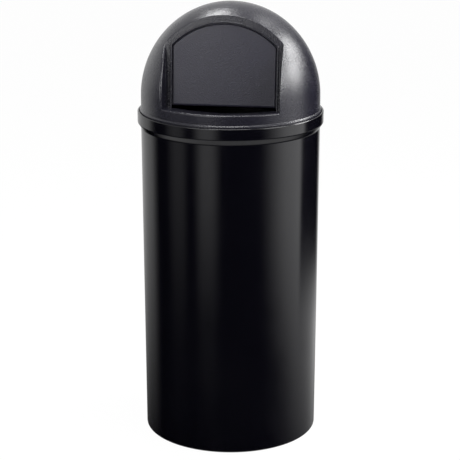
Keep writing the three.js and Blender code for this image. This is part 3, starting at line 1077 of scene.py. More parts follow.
@dataclass
class DomeLid(SubAssembly):
    """The dome: a turned shell with a stepped skirt, and the recess that the door stands in.

    Attributes:
        skirt_bottom: The skirt's lower edge.
        skirt_radius: Outside of the skirt.
        radius: Outside of the dome above its step.
        step: Where the step in starts.
        step_height: How high the step is.
        spring_line: Where the dome starts to curve in.
        crown: The dome's top.
        wall: The wall's thickness.
        recess_half_width: Half the recess's width.
        sill: The sill's front edge.
        sill_slope: How far the sill dips towards the door.
        doorway_half_width: Half the doorway's width.
        doorway_arc: The radius of the doorway's top.
        doorway_top: The doorway's highest point.
    """

    skirt_bottom: float = 683.3 * MM
    skirt_radius: float = 190.25 * MM
    radius: float = 187.65 * MM
    step: float = 704.5 * MM
    step_height: float = 2.3 * MM
    spring_line: float = 731.6 * MM
    crown: float = 927 * MM
    wall: float = 3 * MM
    recess_half_width: float = 120.6 * MM
    sill: float = 728 * MM
    sill_slope: float = math.radians(9.2)
    sill_rounding: float = 3.8 * MM
    side_rounding: float = 3.6 * MM
    doorway_half_width: float = 107.5 * MM
    doorway_arc: float = 147 * MM
    doorway_top: float = 894.5 * MM
    bead_height: float = 2.6 * MM
    strip_height: float = 1 * MM
    bead_width: float = 4 * MM
    groove: float = 0.7 * MM
    strip_width: float = 3.2 * MM
    lip_depth: float = 9 * MM
    boss_radius: float = 5 * MM
    steps: int = 240
    arc_steps: int = 56

    def profile(self, inset: float, bottom: float) -> list[Point]:
        """The dome's outline from its lower edge up to the crown.

        Args:
            inset: How far inside the outer surface.
            bottom: The lower edge.

        Returns:
            Points as (radius, height).
        """
        skirt, dome = self.skirt_radius - inset, self.radius - inset
        step = self.step - inset * 0.4
        foot = Draw.rounded(
            [
                (0, bottom, 0),
                (skirt, bottom, 0.8 * MM),
                (skirt, step, 1.1 * MM),
                (dome, step + self.step_height, 1.1 * MM),
                (dome, self.spring_line, 0),
            ],
            4,
        )
        rise = self.crown - inset - self.spring_line
        arc = []
        for i in range(1, self.arc_steps + 1):
            angle = math.pi / 2 * i / self.arc_steps
            across = 0 if i == self.arc_steps else dome * math.cos(angle)
            arc.append((across, self.spring_line + rise * math.sin(angle)))
        return foot + arc

    def sill_at(self, radius: float) -> float:
        """The sill's height at a distance from the axis."""
        return self.sill - (self.radius - radius) * math.tan(self.sill_slope)

    def under_sill(self, drop: float) -> bpy.types.Object:
        """Everything under the dished sill.

        Args:
            drop: How far it is lowered.

        Returns:
            The turned solid.
        """
        rim, low = 3 * self.radius, 0.62
        profile = [(0, low), (rim, low), (rim, self.sill_at(rim) - drop), (0, self.sill_at(0) - drop)]
        return Bench.turned("under_sill", profile, self.steps)

    def recess(self, grow: float) -> bpy.types.Object:
        """The space in front of the flat, between the recess's sides and over its sill.

        Args:
            grow: How far it is grown to take the recess's own walls.

        Returns:
            The space, as a tool for cutting.
        """
        half = self.recess_half_width + grow
        space = Bench.block("recess", Vector((-half, -0.4, 0.66)), Vector((half, 0.1, 1.05)))
        with Bench.editing(space):
            bpy.ops.mesh.select_all(action="SELECT")
            bpy.ops.mesh.bisect(
                plane_co=FACET.point(0, 0, -grow), plane_no=FACET.out, use_fill=True, clear_inner=True
            )
        return Bench.carve(space, self.under_sill(grow))

    def doorway(self) -> bpy.types.Object:
        """The doorway's opening, as a tool for cutting."""
        outline = Draw.arch(
            self.doorway_half_width,
            self.doorway_arc,
            FACET.rise(self.doorway_top),
            FACET.rise(self.sill - 28 * MM),
            64,
        )
        tool = FACET.plate("doorway", outline, -self.wall - 1 * MM, 0.3 * MM)
        return Bench.carve(tool, self.under_sill(0))

    def foot(self) -> float:
        """How far up the flat the sill meets the doorway's sides."""
        return FACET.rise(self.sill_at(math.hypot(FACET.depth, self.doorway_half_width)))

    def bead(self) -> bpy.types.Object:
        """The rounded bead that runs up both sides of the doorway and over its arch.

        Returns:
            The bead.
        """
        top = FACET.rise(self.doorway_top)
        sizes = (self.doorway_half_width, self.doorway_arc, top)
        outer = Draw.arch(*(size + self.bead_width for size in sizes), self.foot(), 64)
        inner = Draw.arch(*sizes, self.foot() - 2 * self.bead_width, 64)
        bead = FACET.plate("bead", outer, -0.5 * MM, self.bead_height)
        Bench.carve(bead, FACET.plate("inner", inner, -2 * MM, 2 * self.bead_height))

        def in_front(place: Vector) -> bool:
            """Whether a place is on the bead's front."""
            return (place - FACET.point(0, 0)).dot(FACET.out) > self.bead_height - 1e-5

        return Bench.round_edges(bead, 1.9 * MM, 5, 50, in_front)

    def strip(self) -> bpy.types.Object:
        """The flat strip outside the bead, on the right, behind a narrow groove.

        Returns:
            The strip, with its edges rounded.
        """
        drop = math.sqrt(self.doorway_arc**2 - self.doorway_half_width**2)
        corner = FACET.rise(self.doorway_top) - self.doorway_arc + drop
        inner = self.doorway_half_width + self.bead_width + self.groove
        outer = inner + self.strip_width
        outline = [(inner, self.foot()), (outer, self.foot()), (outer, corner), (inner, corner)]
        strip = FACET.plate("strip", outline, -0.5 * MM, self.strip_height)
        return Bench.round_edges(strip, 0.5 * MM, 3, 50)

    def lip(self) -> bpy.types.Object:
        """The lip that turns down under the sill's rear edge.

        Returns:
            The lip.
        """
        edge = FACET.rise(self.sill_at(FACET.depth))
        reach = self.doorway_half_width + 2 * self.bead_width
        outline = [
            (-reach, edge - 2 * self.lip_depth),
            (reach, edge - 2 * self.lip_depth),
            (reach, edge + 2 * self.lip_depth),
            (-reach, edge + 2 * self.lip_depth),
        ]
        lip = FACET.plate("lip", outline, -self.wall, -0.1 * MM)
        Bench.carve(lip, self.under_sill(0.1 * MM), "INTERSECT")
        return Bench.carve(lip, self.under_sill(self.lip_depth))

    def boss(self, x: float, y: float, bottom: float) -> bpy.types.Object:
        """A screw boss that hangs from the dome.

        Args:
            x: The screw's place across.
            y: The screw's place from front to back.
            bottom: The boss's lower end.

        Returns:
            The boss, with its pilot hole.
        """
        inside = self.radius - 0.5 * self.wall
        rise = self.crown - 0.5 * self.wall - self.spring_line
        top = self.spring_line + rise * math.sqrt(
            1 - ((math.hypot(x, y) + self.boss_radius) / inside) ** 2
        )
        pilot = 1.8 * MM
        profile = [
            (0, bottom + 6.3 * MM, 0),
            (pilot, bottom + 6.3 * MM, 0),
            (pilot, bottom, 0.3 * MM),
            (self.boss_radius, bottom, 0.6 * MM),
            (self.boss_radius, top, 0),
            (0, top, 0),
        ]
        return Bench.turned("boss", Draw.rounded(profile, 3), 32, Vector((x, y, 0)))

    def side_cutter(self) -> bpy.types.Object:
        """A cutter that rounds the outer edge of the recess's right side.

        Returns:
            The cutter, a ring about the dome's own middle that is cropped to that edge.
        """
        reach, middle = 0.98 * self.side_rounding, Vector((0, 0, self.spring_line))
        x = self.recess_half_width + reach
        r = math.sqrt((self.radius - reach) ** 2 - x**2)
        first, last = math.radians(190), math.atan2(r, x) - math.radians(10)
        turns = (first + (last - first) * i / 10 for i in range(11))
        size = self.side_rounding
        arc = [(r + size * math.sin(a), x + size * math.cos(a)) for a in turns]
        rim = math.sqrt(self.radius**2 - self.recess_half_width**2)
        corner = (rim + 3 * MM, self.recess_half_width - 2 * MM)
        profile = [*arc, corner, arc[0]]
        cutter = Bench.turned(
            "side_cutter", profile, self.steps, middle, Vector((1, 0, 0)), Vector((0, -1, 0))
        )
        with Bench.editing(cutter):
            bpy.ops.mesh.select_all(action="SELECT")
            rise = (self.crown - self.spring_line) / self.radius
            bpy.ops.transform.resize(value=(1, 1, rise), center_override=middle)
        crop = Bench.block("crop", Vector((0.1, -0.2, self.sill)), Vector((0.15, 0, self.crown)))
        Bench.carve(cutter, crop, "INTERSECT")
        with Bench.editing(cutter):
            bpy.ops.mesh.select_all(action="SELECT")
            bpy.ops.mesh.bisect(
                plane_co=FACET.point(0, 0), plane_no=FACET.out, use_fill=True, clear_inner=True
            )
        return cutter

    def sill_cutter(self) -> bpy.types.Object:
        """A cutter that rounds the sill's front edge.

        Returns:
            The cutter.
        """
        size, slope = self.sill_rounding, self.sill_slope
        reach = 0.98 * size
        r = self.radius - reach
        z = self.sill_at(r) - reach / math.cos(slope)
        first, last = math.radians(-10), math.radians(100) + slope
        turns = (first + (last - first) * i / 10 for i in range(11))
        arc = [(r + size * math.cos(a), z + size * math.sin(a)) for a in turns]
        corner = (self.radius + 2 * MM, self.sill + 2 * MM)
        cutter = Bench.turned("sill_cutter", [*arc, corner, arc[0]], self.steps)
        half = self.recess_half_width
        crop = Bench.block("crop", Vector((-half, -0.2, 0.7)), Vector((half, -0.1, 0.75)))
        return Bench.carve(cutter, crop, "INTERSECT")

    def shell(self) -> bpy.types.Object:
        """The dome's shell with its recess and doorway cut, and their edges rounded.

        Returns:
            The shell.
        """
        lid = Bench.turned("dome_shell", self.profile(0, self.skirt_bottom), self.steps)
        Bench.carve(lid, self.recess(0))
        inside = Bench.turned(
            "dome_inside", self.profile(self.wall, self.skirt_bottom - self.wall), self.steps
        )
        Bench.carve(inside, self.recess(self.wall))
        Bench.carve(lid, inside)
        Bench.carve(lid, self.doorway())
        Bench.carve(lid, self.sill_cutter())
        cutter = self.side_cutter()
        Bench.carve(lid, Bench.mirrored(cutter, "left_cutter"))
        Bench.carve(lid, cutter)
        with Bench.editing(lid):
            bpy.ops.mesh.select_all(action="SELECT")
            bpy.ops.mesh.remove_doubles(threshold=0.35 * MM)
            bpy.ops.mesh.dissolve_degenerate(threshold=0.05 * MM)

        def on_arch(place: Vector) -> bool:
            """Whether a place is on the edge between the flat and the dome over the doorway."""
            flat = abs((place - FACET.point(0, 0)).dot(FACET.out)) < 0.1 * MM
            reach = math.hypot(place.x, place.y) / self.radius
            rise = (place.z - self.spring_line) / (self.crown - self.spring_line)
            outside = reach**2 + rise**2 > 0.99
            return flat and outside and abs(place.x) < 0.985 * self.recess_half_width

        return Bench.round_edges(lid, 1.4 * MM, 3, 28, on_arch)

    def build(self) -> None:
        """Builds the dome and fits it."""
        lid = self.shell()
        strip = self.strip()
        extras = [self.bead(), strip, Bench.mirrored(strip, "strip_left"), self.lip()]
        for x in (-1, 1):
            for y in HINGE.screw_ys:
                extras.append(self.boss(x * HINGE.screw_x, y, HINGE.foot_top + 0.3 * MM))
        Bench.join(lid, *extras)
        self.fit(lid, Body.DOME, Slot.DOME, "dome_lid")


@dataclass(frozen=True)
class HingeSizes:
    """The hinge's own sizes, in metres, shared by the pieces on its rod."""

    up: float = FACET.rise((894.5 - 1.5) * MM)
    out: float = -15.1 * MM
    rod_radius: float = 2 * MM
    gap: float = 0.3 * MM
    bush_radius: float = 3.5 * MM
    bush_lip: float = 5.1 * MM
    knuckle_bore: float = 3.8 * MM
    knuckle_radius: float = 6 * MM
    knuckle_inner: float = 22 * MM
    knuckle_outer: float = 33 * MM
    coil_radius: float = 4.2 * MM
    wire_radius: float = 0.7 * MM
    coil_turns: float = 5.25
    coil_pitch: float = 2 * MM
    coil_start: float = 35.3 * MM
    plate_inner: float = 47.1 * MM
    plate_outer: float = 50.1 * MM
    foot_above_rod: float = 5.7 * MM
    foot_thickness: float = 3 * MM
    foot_behind_rod: float = 6 * MM
    foot_length: float = 30 * MM
    foot_out: float = 11.5 * MM
    foot_in: float = 5.5 * MM
    screw_pitch: float = 17 * MM

    @property
    def axis(self) -> Vector:
        """The middle of the rod."""
        return FACET.point(0, self.up, self.out)

    @property
    def coil_end(self) -> float:
        """Where the coil ends, across."""
        return self.coil_start + self.coil_turns * self.coil_pitch

    @property
    def foot_top(self) -> float:
        """The upper face of the brackets' feet."""
        return self.axis.z + self.foot_above_rod + self.foot_thickness

    @property
    def screw_x(self) -> float:
        """The screws' place across."""
        return self.plate_outer + self.foot_out / 2

    @property
    def screw_ys(self) -> tuple[float, float]:
        """The two screws' places from front to back."""
        middle = self.axis.y + self.foot_behind_rod + self.foot_length / 2
        return (middle - self.screw_pitch / 2, middle + self.screw_pitch / 2)

    def turned(self, name: str, profile: Sequence[Corner], steps: int = 40) -> bpy.types.Object:
        """A piece turned round the rod's axis.

        Args:
            name: The object's name.
            profile: Corners as (radius, across, rounding).
            steps: Steps round the rod.

        Returns:
            The solid.
        """
        return Bench.turned(
            name,
            Draw.rounded(profile, 3),
            steps,
            self.axis,
            Vector((1, 0, 0)),
            Vector((0, 1, 0)),
        )


HINGE = HingeSizes()


@dataclass
class PushDoor(SubAssembly):
    """The push door: an arched tray with a flange behind, ribs, two knuckles and bumpers.

    Attributes:
        half_width: Half the door's width.
        arc: The radius of its top.
        top: Its highest point, up the flat.
        bottom: Its lower edge, up the flat.
        front: Its front, out of the flat.
        back: The flange's back.
        flange_front: The flange's front.
        skin: The thickness of its front.
    """

    half_width: float = 105 * MM
    arc: float = 144.5 * MM
    top: float = FACET.rise(894.5 * MM) - 2.5 * MM
    bottom: float = FACET.rise(726.5 * MM)
    front: float = -1.5 * MM
    back: float = -8 * MM
    flange_front: float = -5 * MM
    skin: float = 3 * MM
    wall: float = 3 * MM
    flange_half_width: float = 118 * MM
    flange_arc: float = 149.5 * MM
    flange_top: float = FACET.rise(894.5 * MM) + 2.5 * MM
    rib_depth: float = 12 * MM
    rib_width: float = 3 * MM
    rib_x: float = 60 * MM
    gusset: float = 40 * MM
    bumper_x: float = 112.75 * MM
    bumper_rises: tuple[float, float] = (20 * MM, 105 * MM)

    def tray(self) -> bpy.types.Object:
        """The door's front, its walls and its flange.

        Returns:
            The tray, with its edges rounded.
        """
        steps = 64
        panel = Draw.arch(self.half_width, self.arc, self.top, self.bottom, steps)
        flange = Draw.arch(
            self.flange_half_width, self.flange_arc, self.flange_top, self.bottom, steps
        )
        hollow = Draw.arch(
            self.half_width - self.wall,
            self.arc - self.wall,
            self.top - self.wall,
            self.bottom + self.wall,
            steps,
        )
        door = FACET.plate("push_door_panel", panel, self.back, self.front)
        Bench.carve(door, FACET.plate("flange", flange, self.back, self.flange_front), "UNION")
        tool = FACET.plate("hollow", hollow, self.back - 1 * MM, self.front - self.skin)
        Bench.carve(door, tool)
        for x in (-self.bumper_x, self.bumper_x):
            for rise in self.bumper_rises:
                hole = self.pin(x, self.bottom + rise, 2 * MM, self.back - 1 * MM, self.flange_front + 1 * MM)
                Bench.carve(door, hole)

        def at_bottom(place: Vector) -> bool:
            """Whether a place is on the front edge of the door's lower end."""
            foot = place - FACET.point(0, self.bottom, self.front)
            return abs(foot.dot(FACET.up)) < 1e-5 and abs(foot.dot(FACET.out)) < 1e-5

        Bench.round_edges(door, 5 * MM, 6, 40, at_bottom)
        return Bench.round_edges(door, 1.3 * MM, 4, 40)

    def pin(self, x: float, up: float, radius: float, back: float, front: float) -> bpy.types.Object:
        """A round pin square to the flat, as a tool for cutting.

        Args:
            x: Its place across.
            up: Its place up the flat.
            radius: Its radius.
            back: Its back end.
            front: Its front end.

        Returns:
            The pin.
        """
        profile = [(0, back), (radius, back), (radius, front), (0, front)]
        foot = FACET.point(x, up)
        return Bench.turned("pin", profile, 24, foot, FACET.out, Vector((1, 0, 0)))

    def ribs(self) -> list[bpy.types.Object]:
        """The two upright ribs and the cross rib, with their edges rounded.

        Returns:
            The ribs.
        """
        low, high = self.bottom + 1 * MM, self.top - self.gusset
        back, front = self.front - self.skin - self.rib_depth, self.front - 1 * MM
        half = self.rib_width / 2
        upright = [
            (self.rib_x - half, low),
            (self.rib_x + half, low),
            (self.rib_x + half, high),
            (self.rib_x - half, high),
        ]
        middle = (self.top + self.bottom) / 2
        reach = self.rib_x - half - 0.05 * MM
        cross = [
            (-reach, middle - half),
            (reach, middle - half),
            (reach, middle + half),
            (-reach, middle + half),
        ]
        made = [FACET.plate("rib", upright, back, front)]
        made.append(FACET.plate("cross_rib", cross, back, front))
        for rib in made:
            Bench.round_edges(rib, 0.6 * MM, 2, 50)
        made.append(Bench.mirrored(made[0], "rib_left"))
        return made

    def knuckle(self) -> bpy.types.Object:
        """A barrel round the right bush, with the gusset that carries it.

        Returns:
            The knuckle.
        """
        near, far = HINGE.knuckle_inner, HINGE.knuckle_outer
        bore, radius = HINGE.knuckle_bore, HINGE.knuckle_radius
        barrel = HINGE.turned(
            "knuckle",
            [
                (bore, (near + far) / 2, 0),
                (bore, near, 0.4 * MM),
                (radius, near, 0.6 * MM),
                (radius, far, 0.6 * MM),
                (bore, far, 0.4 * MM),
                (bore, (near + far) / 2, 0),
            ],
        )
        skin_back = self.front - self.skin
        outline = [
            (self.top - self.gusset, skin_back + 1 * MM),
            (self.top - 2 * self.wall, skin_back + 1 * MM),
            (self.top - 1 * MM, HINGE.out + radius * 0.9),
            (HINGE.up, HINGE.out),
            (HINGE.up - radius * 0.7, HINGE.out - radius * 0.7),
        ]
        inset = 0.3 * MM
        places = [FACET.point(near + inset, up, out) for up, out in outline]
        gusset = Bench.plate("gusset", places, Vector((far - near - 2 * inset, 0, 0)))
        tool = HINGE.turned(
            "bore",
            [(0, near - MM, 0), (bore, near - MM, 0), (bore, far + MM, 0), (0, far + MM, 0)],
        )
        Bench.carve(gusset, tool)
        Bench.round_edges(gusset, 0.5 * MM, 2, 50)
        return Bench.join(barrel, gusset)

    def bumper(self, x: float, up: float, name: str) -> bpy.types.Object:
        """A rubber button whose stem passes through the flange.

        Args:
            x: Its place across.
            up: Its place up the flat.
            name: The object's name.

        Returns:
            The bumper.
        """
        gap = HINGE.gap
        button = self.back - gap
        head = -3 * MM - gap
        profile = Draw.rounded(
            [
                (0, button - 1.6 * MM, 0),
                (2.7 * MM, button - 1.6 * MM, 0.7 * MM),
                (2.7 * MM, button, 0.2 * MM),
                (1.7 * MM, button, 0),
                (1.7 * MM, self.flange_front + gap, 0),
                (3.4 * MM, self.flange_front + gap, 0.2 * MM),
                (3.4 * MM, head, 0.6 * MM),
                (0, head, 0),
            ],
            4,
        )
        foot = FACET.point(x, up)
        return Bench.turned(name, profile, 32, foot, FACET.out, Vector((1, 0, 0)))

    def build(self) -> None:
        """Builds the door and its bumpers, and fits them."""
        door = self.tray()
        knuckle = self.knuckle()
        left = Bench.mirrored(knuckle, "knuckle_left")
        Bench.join(door, *self.ribs(), knuckle, left)
        self.fit(door, Body.DOOR, Slot.DOOR, "push_door")
        number = 1
        for x in (-self.bumper_x, self.bumper_x):
            for rise in self.bumper_rises:
                bumper = self.bumper(x, self.bottom + rise, f"bumper_{number}")
                self.fit(bumper, Body.DOOR, Slot.RUBBER, f"door_bumper_{number}")
                number += 1


@dataclass
class Hinge(SubAssembly):
    """The door's hinge: the rod and its caps, the brackets and screws, bushes and springs."""

    cap_radius: float = 4.6 * MM
    cap_length: float = 2.6 * MM
    cap_floor: float = 1 * MM
    door_leg: float = 31 * MM
    bracket_leg: float = 22 * MM
    lug: float = 5.3 * MM

    def rod(self) -> bpy.types.Object:
        """The rod, with chamfered ends.

        Returns:
            The rod.
        """
        gap = HINGE.gap
        half = HINGE.plate_outer + self.cap_length - self.cap_floor
        radius = HINGE.rod_radius
        profile = [
            (0, -half, 0),
            (radius, -half, gap),
            *((radius, x * half, 0) for x in (-0.6, -0.2, 0.2, 0.6)),
            (radius, half, gap),
            (0, half, 0),
        ]
        return HINGE.turned("rod", profile)

    def cap(self) -> bpy.types.Object:
        """The push-on cap on the rod's right end.

        Returns:
            The cap.
        """
        start = HINGE.plate_outer + HINGE.gap
        end = start + self.cap_length
        bore = HINGE.rod_radius + HINGE.gap
        profile = [
            (bore, end - self.cap_floor - 0.5 * MM, 0),
            (bore, start, 0.2 * MM),
            (self.cap_radius, start, 0.3 * MM),
            (self.cap_radius, end - 0.2 * MM, 1 * MM),
            (0, end, 0),
            (0, end - self.cap_floor, 0),
            (bore, end - self.cap_floor, 0),
            (bore, end - self.cap_floor - 0.5 * MM, 0),
        ]
        return HINGE.turned("cap_right", profile)

    def bush(self) -> bpy.types.Object:
        """The nylon bush in the right knuckle, with its flange.

        Returns:
            The bush.
        """
        bore = HINGE.rod_radius + HINGE.gap
        near, far = HINGE.knuckle_inner, HINGE.knuckle_outer + HINGE.gap
        profile = [
            (bore, (near + far) / 2, 0),
            (bore, near, 0.2 * MM),
            (HINGE.bush_radius, near, 0.3 * MM),
            (HINGE.bush_radius, far, 0),
            (HINGE.bush_lip, far, 0.15 * MM),
            (HINGE.bush_lip, far + 1 * MM, 0.3 * MM),
            (bore, far + 1 * MM, 0.2 * MM),
            (bore, (near + far) / 2, 0),
        ]
        return HINGE.turned("bush_right", profile)

    def spring(self) -> bpy.types.Object:
        """The right spring: a leg on the door's back, the coil and a leg under the bracket's foot.

        Returns:
            The spring, one unbroken wire.
        """
        radius, wire = HINGE.coil_radius, HINGE.wire_radius
        tip = (-1.5 - 3 - 0.6) * MM - wire
        stand_off = 2 * radius - (tip - HINGE.out)
        lean = FACET.lean + math.asin((radius - stand_off) / self.door_leg)
        if bpy.context.object and bpy.context.object.mode != "OBJECT":
            bpy.ops.object.mode_set(mode="OBJECT")
        bpy.ops.object.select_all(action="DESELECT")
        bpy.ops.mesh.primitive_circle_add(
            vertices=12, radius=wire, location=(HINGE.coil_start, -radius, 0)
        )
        spring = bpy.context.object
        spring.name = "spring_right"
        Bench.settle(spring)
        Bench.modify(
            spring,
            "SCREW",
            axis="X",
            angle=-2 * math.pi * HINGE.coil_turns,
            screw_offset=HINGE.coil_pitch * HINGE.coil_turns,
            steps=126,
            render_steps=126,
        )
        near = wire + 0.05 * MM

        def at_start(vert: bmesh.types.BMVert) -> bool:
            """Whether a vertex is on the wire's first ring."""
            return abs(vert.co.z) < 1e-6 and vert.co.y < 0 and vert.co.x < HINGE.coil_start + near

        def at_end(vert: bmesh.types.BMVert) -> bool:
            """Whether a vertex is on the wire's last ring."""
            return abs(vert.co.y) < 1e-5 and vert.co.z > 0 and vert.co.x > HINGE.coil_end - near

        legs = (
            (at_start, Vector((0, -math.sin(lean), -math.cos(lean))) * self.door_leg),
            (at_end, Vector((0, self.bracket_leg, 0))),
        )
        with Bench.editing(spring):
            for test, leg in legs:
                Bench.pick(Part.VERTS, test)
                bpy.ops.mesh.select_mode(type="EDGE")
                for _ in range(4):
                    bpy.ops.mesh.extrude_edges_move(TRANSFORM_OT_translate={"value": leg / 4})
                bpy.ops.mesh.edge_face_add()
            bpy.ops.mesh.select_all(action="SELECT")
            bpy.ops.transform.translate(value=(0, HINGE.axis.y, HINGE.axis.z))
        return Bench.close(spring)

    def bracket(self) -> bpy.types.Object:
        """The right bracket: an upright plate round the rod under a foot with two screw holes.

        Returns:
            The bracket, with its edges rounded.
        """
        axis, lug = HINGE.axis, self.lug
        foot_bottom = HINGE.foot_top - HINGE.foot_thickness
        front = axis.y + HINGE.foot_behind_rod
        back = front + HINGE.foot_length
        x0, x1 = HINGE.plate_inner, HINGE.plate_outer
        outline = [
            (axis.y - lug * 0.7, axis.z - lug * 0.7),
            (axis.y + lug * 0.9, axis.z - lug * 0.9),
            (back, foot_bottom),
            (back, HINGE.foot_top),
            (front, HINGE.foot_top),
            (axis.y - lug * 0.7, axis.z + lug * 0.7),
        ]
        places = [Vector((x0, y, z)) for y, z in outline]
        bracket = Bench.plate("bracket_right", places, Vector((x1 - x0, 0, 0)))
        ear = HINGE.turned("ear", [(0, x0, 0), (lug, x0, 0), (lug, x1, 0), (0, x1, 0)])
        Bench.carve(bracket, ear, "UNION")
        foot = Bench.block(
            "foot",
            Vector((x0 - HINGE.foot_in, front, foot_bottom)),
            Vector((x1 + HINGE.foot_out, back, HINGE.foot_top)),
        )
        Bench.carve(bracket, foot, "UNION")
        bore = HINGE.rod_radius + HINGE.gap
        tool = HINGE.turned(
            "bore", [(0, x0 - MM, 0), (bore, x0 - MM, 0), (bore, x1 + MM, 0), (0, x1 + MM, 0)]
        )
        Bench.carve(bracket, tool)
        for y in HINGE.screw_ys:
            profile = [
                (0, foot_bottom - MM),
                (1.8 * MM, foot_bottom - MM),
                (1.8 * MM, HINGE.foot_top + MM),
                (0, HINGE.foot_top + MM),
            ]
            Bench.carve(bracket, Bench.turned("hole", profile, 24, Vector((HINGE.screw_x, y, 0))))
        return Bench.round_edges(bracket, 0.4 * MM, 2, 50)

    def screw(self, x: float, y: float, name: str) -> bpy.types.Object:
        """A pan-head screw with a cross slot, driven upwards through the bracket's foot.

        Args:
            x: Its place across.
            y: Its place from front to back.
            name: The object's name.

        Returns:
            The screw.
        """
        head = HINGE.foot_top - HINGE.foot_thickness - HINGE.gap
        low = head - 2.2 * MM
        profile = [
            (0, low, 0),
            (2.2 * MM, low, 0.6 * MM),
            (3.4 * MM, head - 1.1 * MM, 0.5 * MM),
            (3.4 * MM, head, 0.15 * MM),
            (1.5 * MM, head, 0),
            (1.5 * MM, head + 8 * MM, 0),
            (0.6 * MM, head + 9 * MM, 0),
            (0, head + 9 * MM, 0),
        ]
        screw = Bench.turned(name, Draw.rounded(profile, 3), 32, Vector((x, y, 0)))
        reach, half = 2.38 * MM, 0.45 * MM
        for across, along in ((reach, half), (half, reach)):
            slot = Bench.block(
                "slot",
                Vector((x - across, y - along, low - MM)),
                Vector((x + across, y + along, low + MM)),
            )
            Bench.carve(screw, slot)
        return screw

    def build(self) -> None:
        """Builds the hinge's pieces and fits them; the springs are only dressed and tied to no body."""
        self.fit(self.rod(), Body.DOME, Slot.STEEL, "hinge_rod")
        pairs = (
            (self.cap(), "cap", Body.DOME, Slot.STEEL, "rod_cap"),
            (self.bracket(), "bracket", Body.DOME, Slot.STEEL, "hinge_bracket"),
            (self.bush(), "bush", Body.DOOR, Slot.NYLON, "hinge_bush"),
        )
        for right, name, body, slot, node in pairs:
            left = Bench.mirrored(right, f"{name}_{Side.LEFT.label}")
            self.fit(left, body, slot, f"{node}_{Side.LEFT.label}")
            self.fit(right, body, slot, f"{node}_{Side.RIGHT.label}")
        number = 1
        for side in Side:
            for y in HINGE.screw_ys:
                screw = self.screw(side.value * HINGE.screw_x, y, f"screw_{number}")
                self.fit(screw, Body.DOME, Slot.STEEL, f"bracket_screw_{number}")
                number += 1
        right = self.spring()
        left = Bench.mirrored(right, "spring_left")
        for side, spring in ((Side.LEFT, left), (Side.RIGHT, right)):
            self.dress(spring, Slot.SPRING)
            axis = HINGE.axis
            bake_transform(spring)
            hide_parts(f"door_spring_{side.label}")
            LOG.info("%s twists between dome and door", spring.name)


# ---------------------------------------------------------------- studio


@dataclass(frozen=True)
class Lamp:
    """A soft rectangular lamp that faces a point of the receptacle.

    Attributes:
        name: The lamp's name.
        place: Where it stands.
        target: What it faces.
        size: Its width and height.
        watts: Its power.
        roll: How far it is turned about the way it faces, in radians.
    """

    name: str
    place: Corner
    target: Corner
    size: Point
    watts: float
    roll: float = 0.0

    def hang(self) -> bpy.types.Object:
        """Adds the lamp.

        Returns:
            The lamp.
        """
        light = bpy.data.lights.new(self.name, "AREA")
        light.shape = "RECTANGLE"
        light.size, light.size_y = self.size
        light.energy = self.watts
        lamp = bpy.data.objects.new(self.name, light)
        bpy.context.scene.collection.objects.link(lamp)
        lamp.location = self.place
        toward = Vector(self.target) - Vector(self.place)
        facing = toward.to_track_quat("-Z", "Y")
        lamp.rotation_euler = (facing @ Quaternion((0, 0, 1), self.roll)).to_euler()
        return lamp


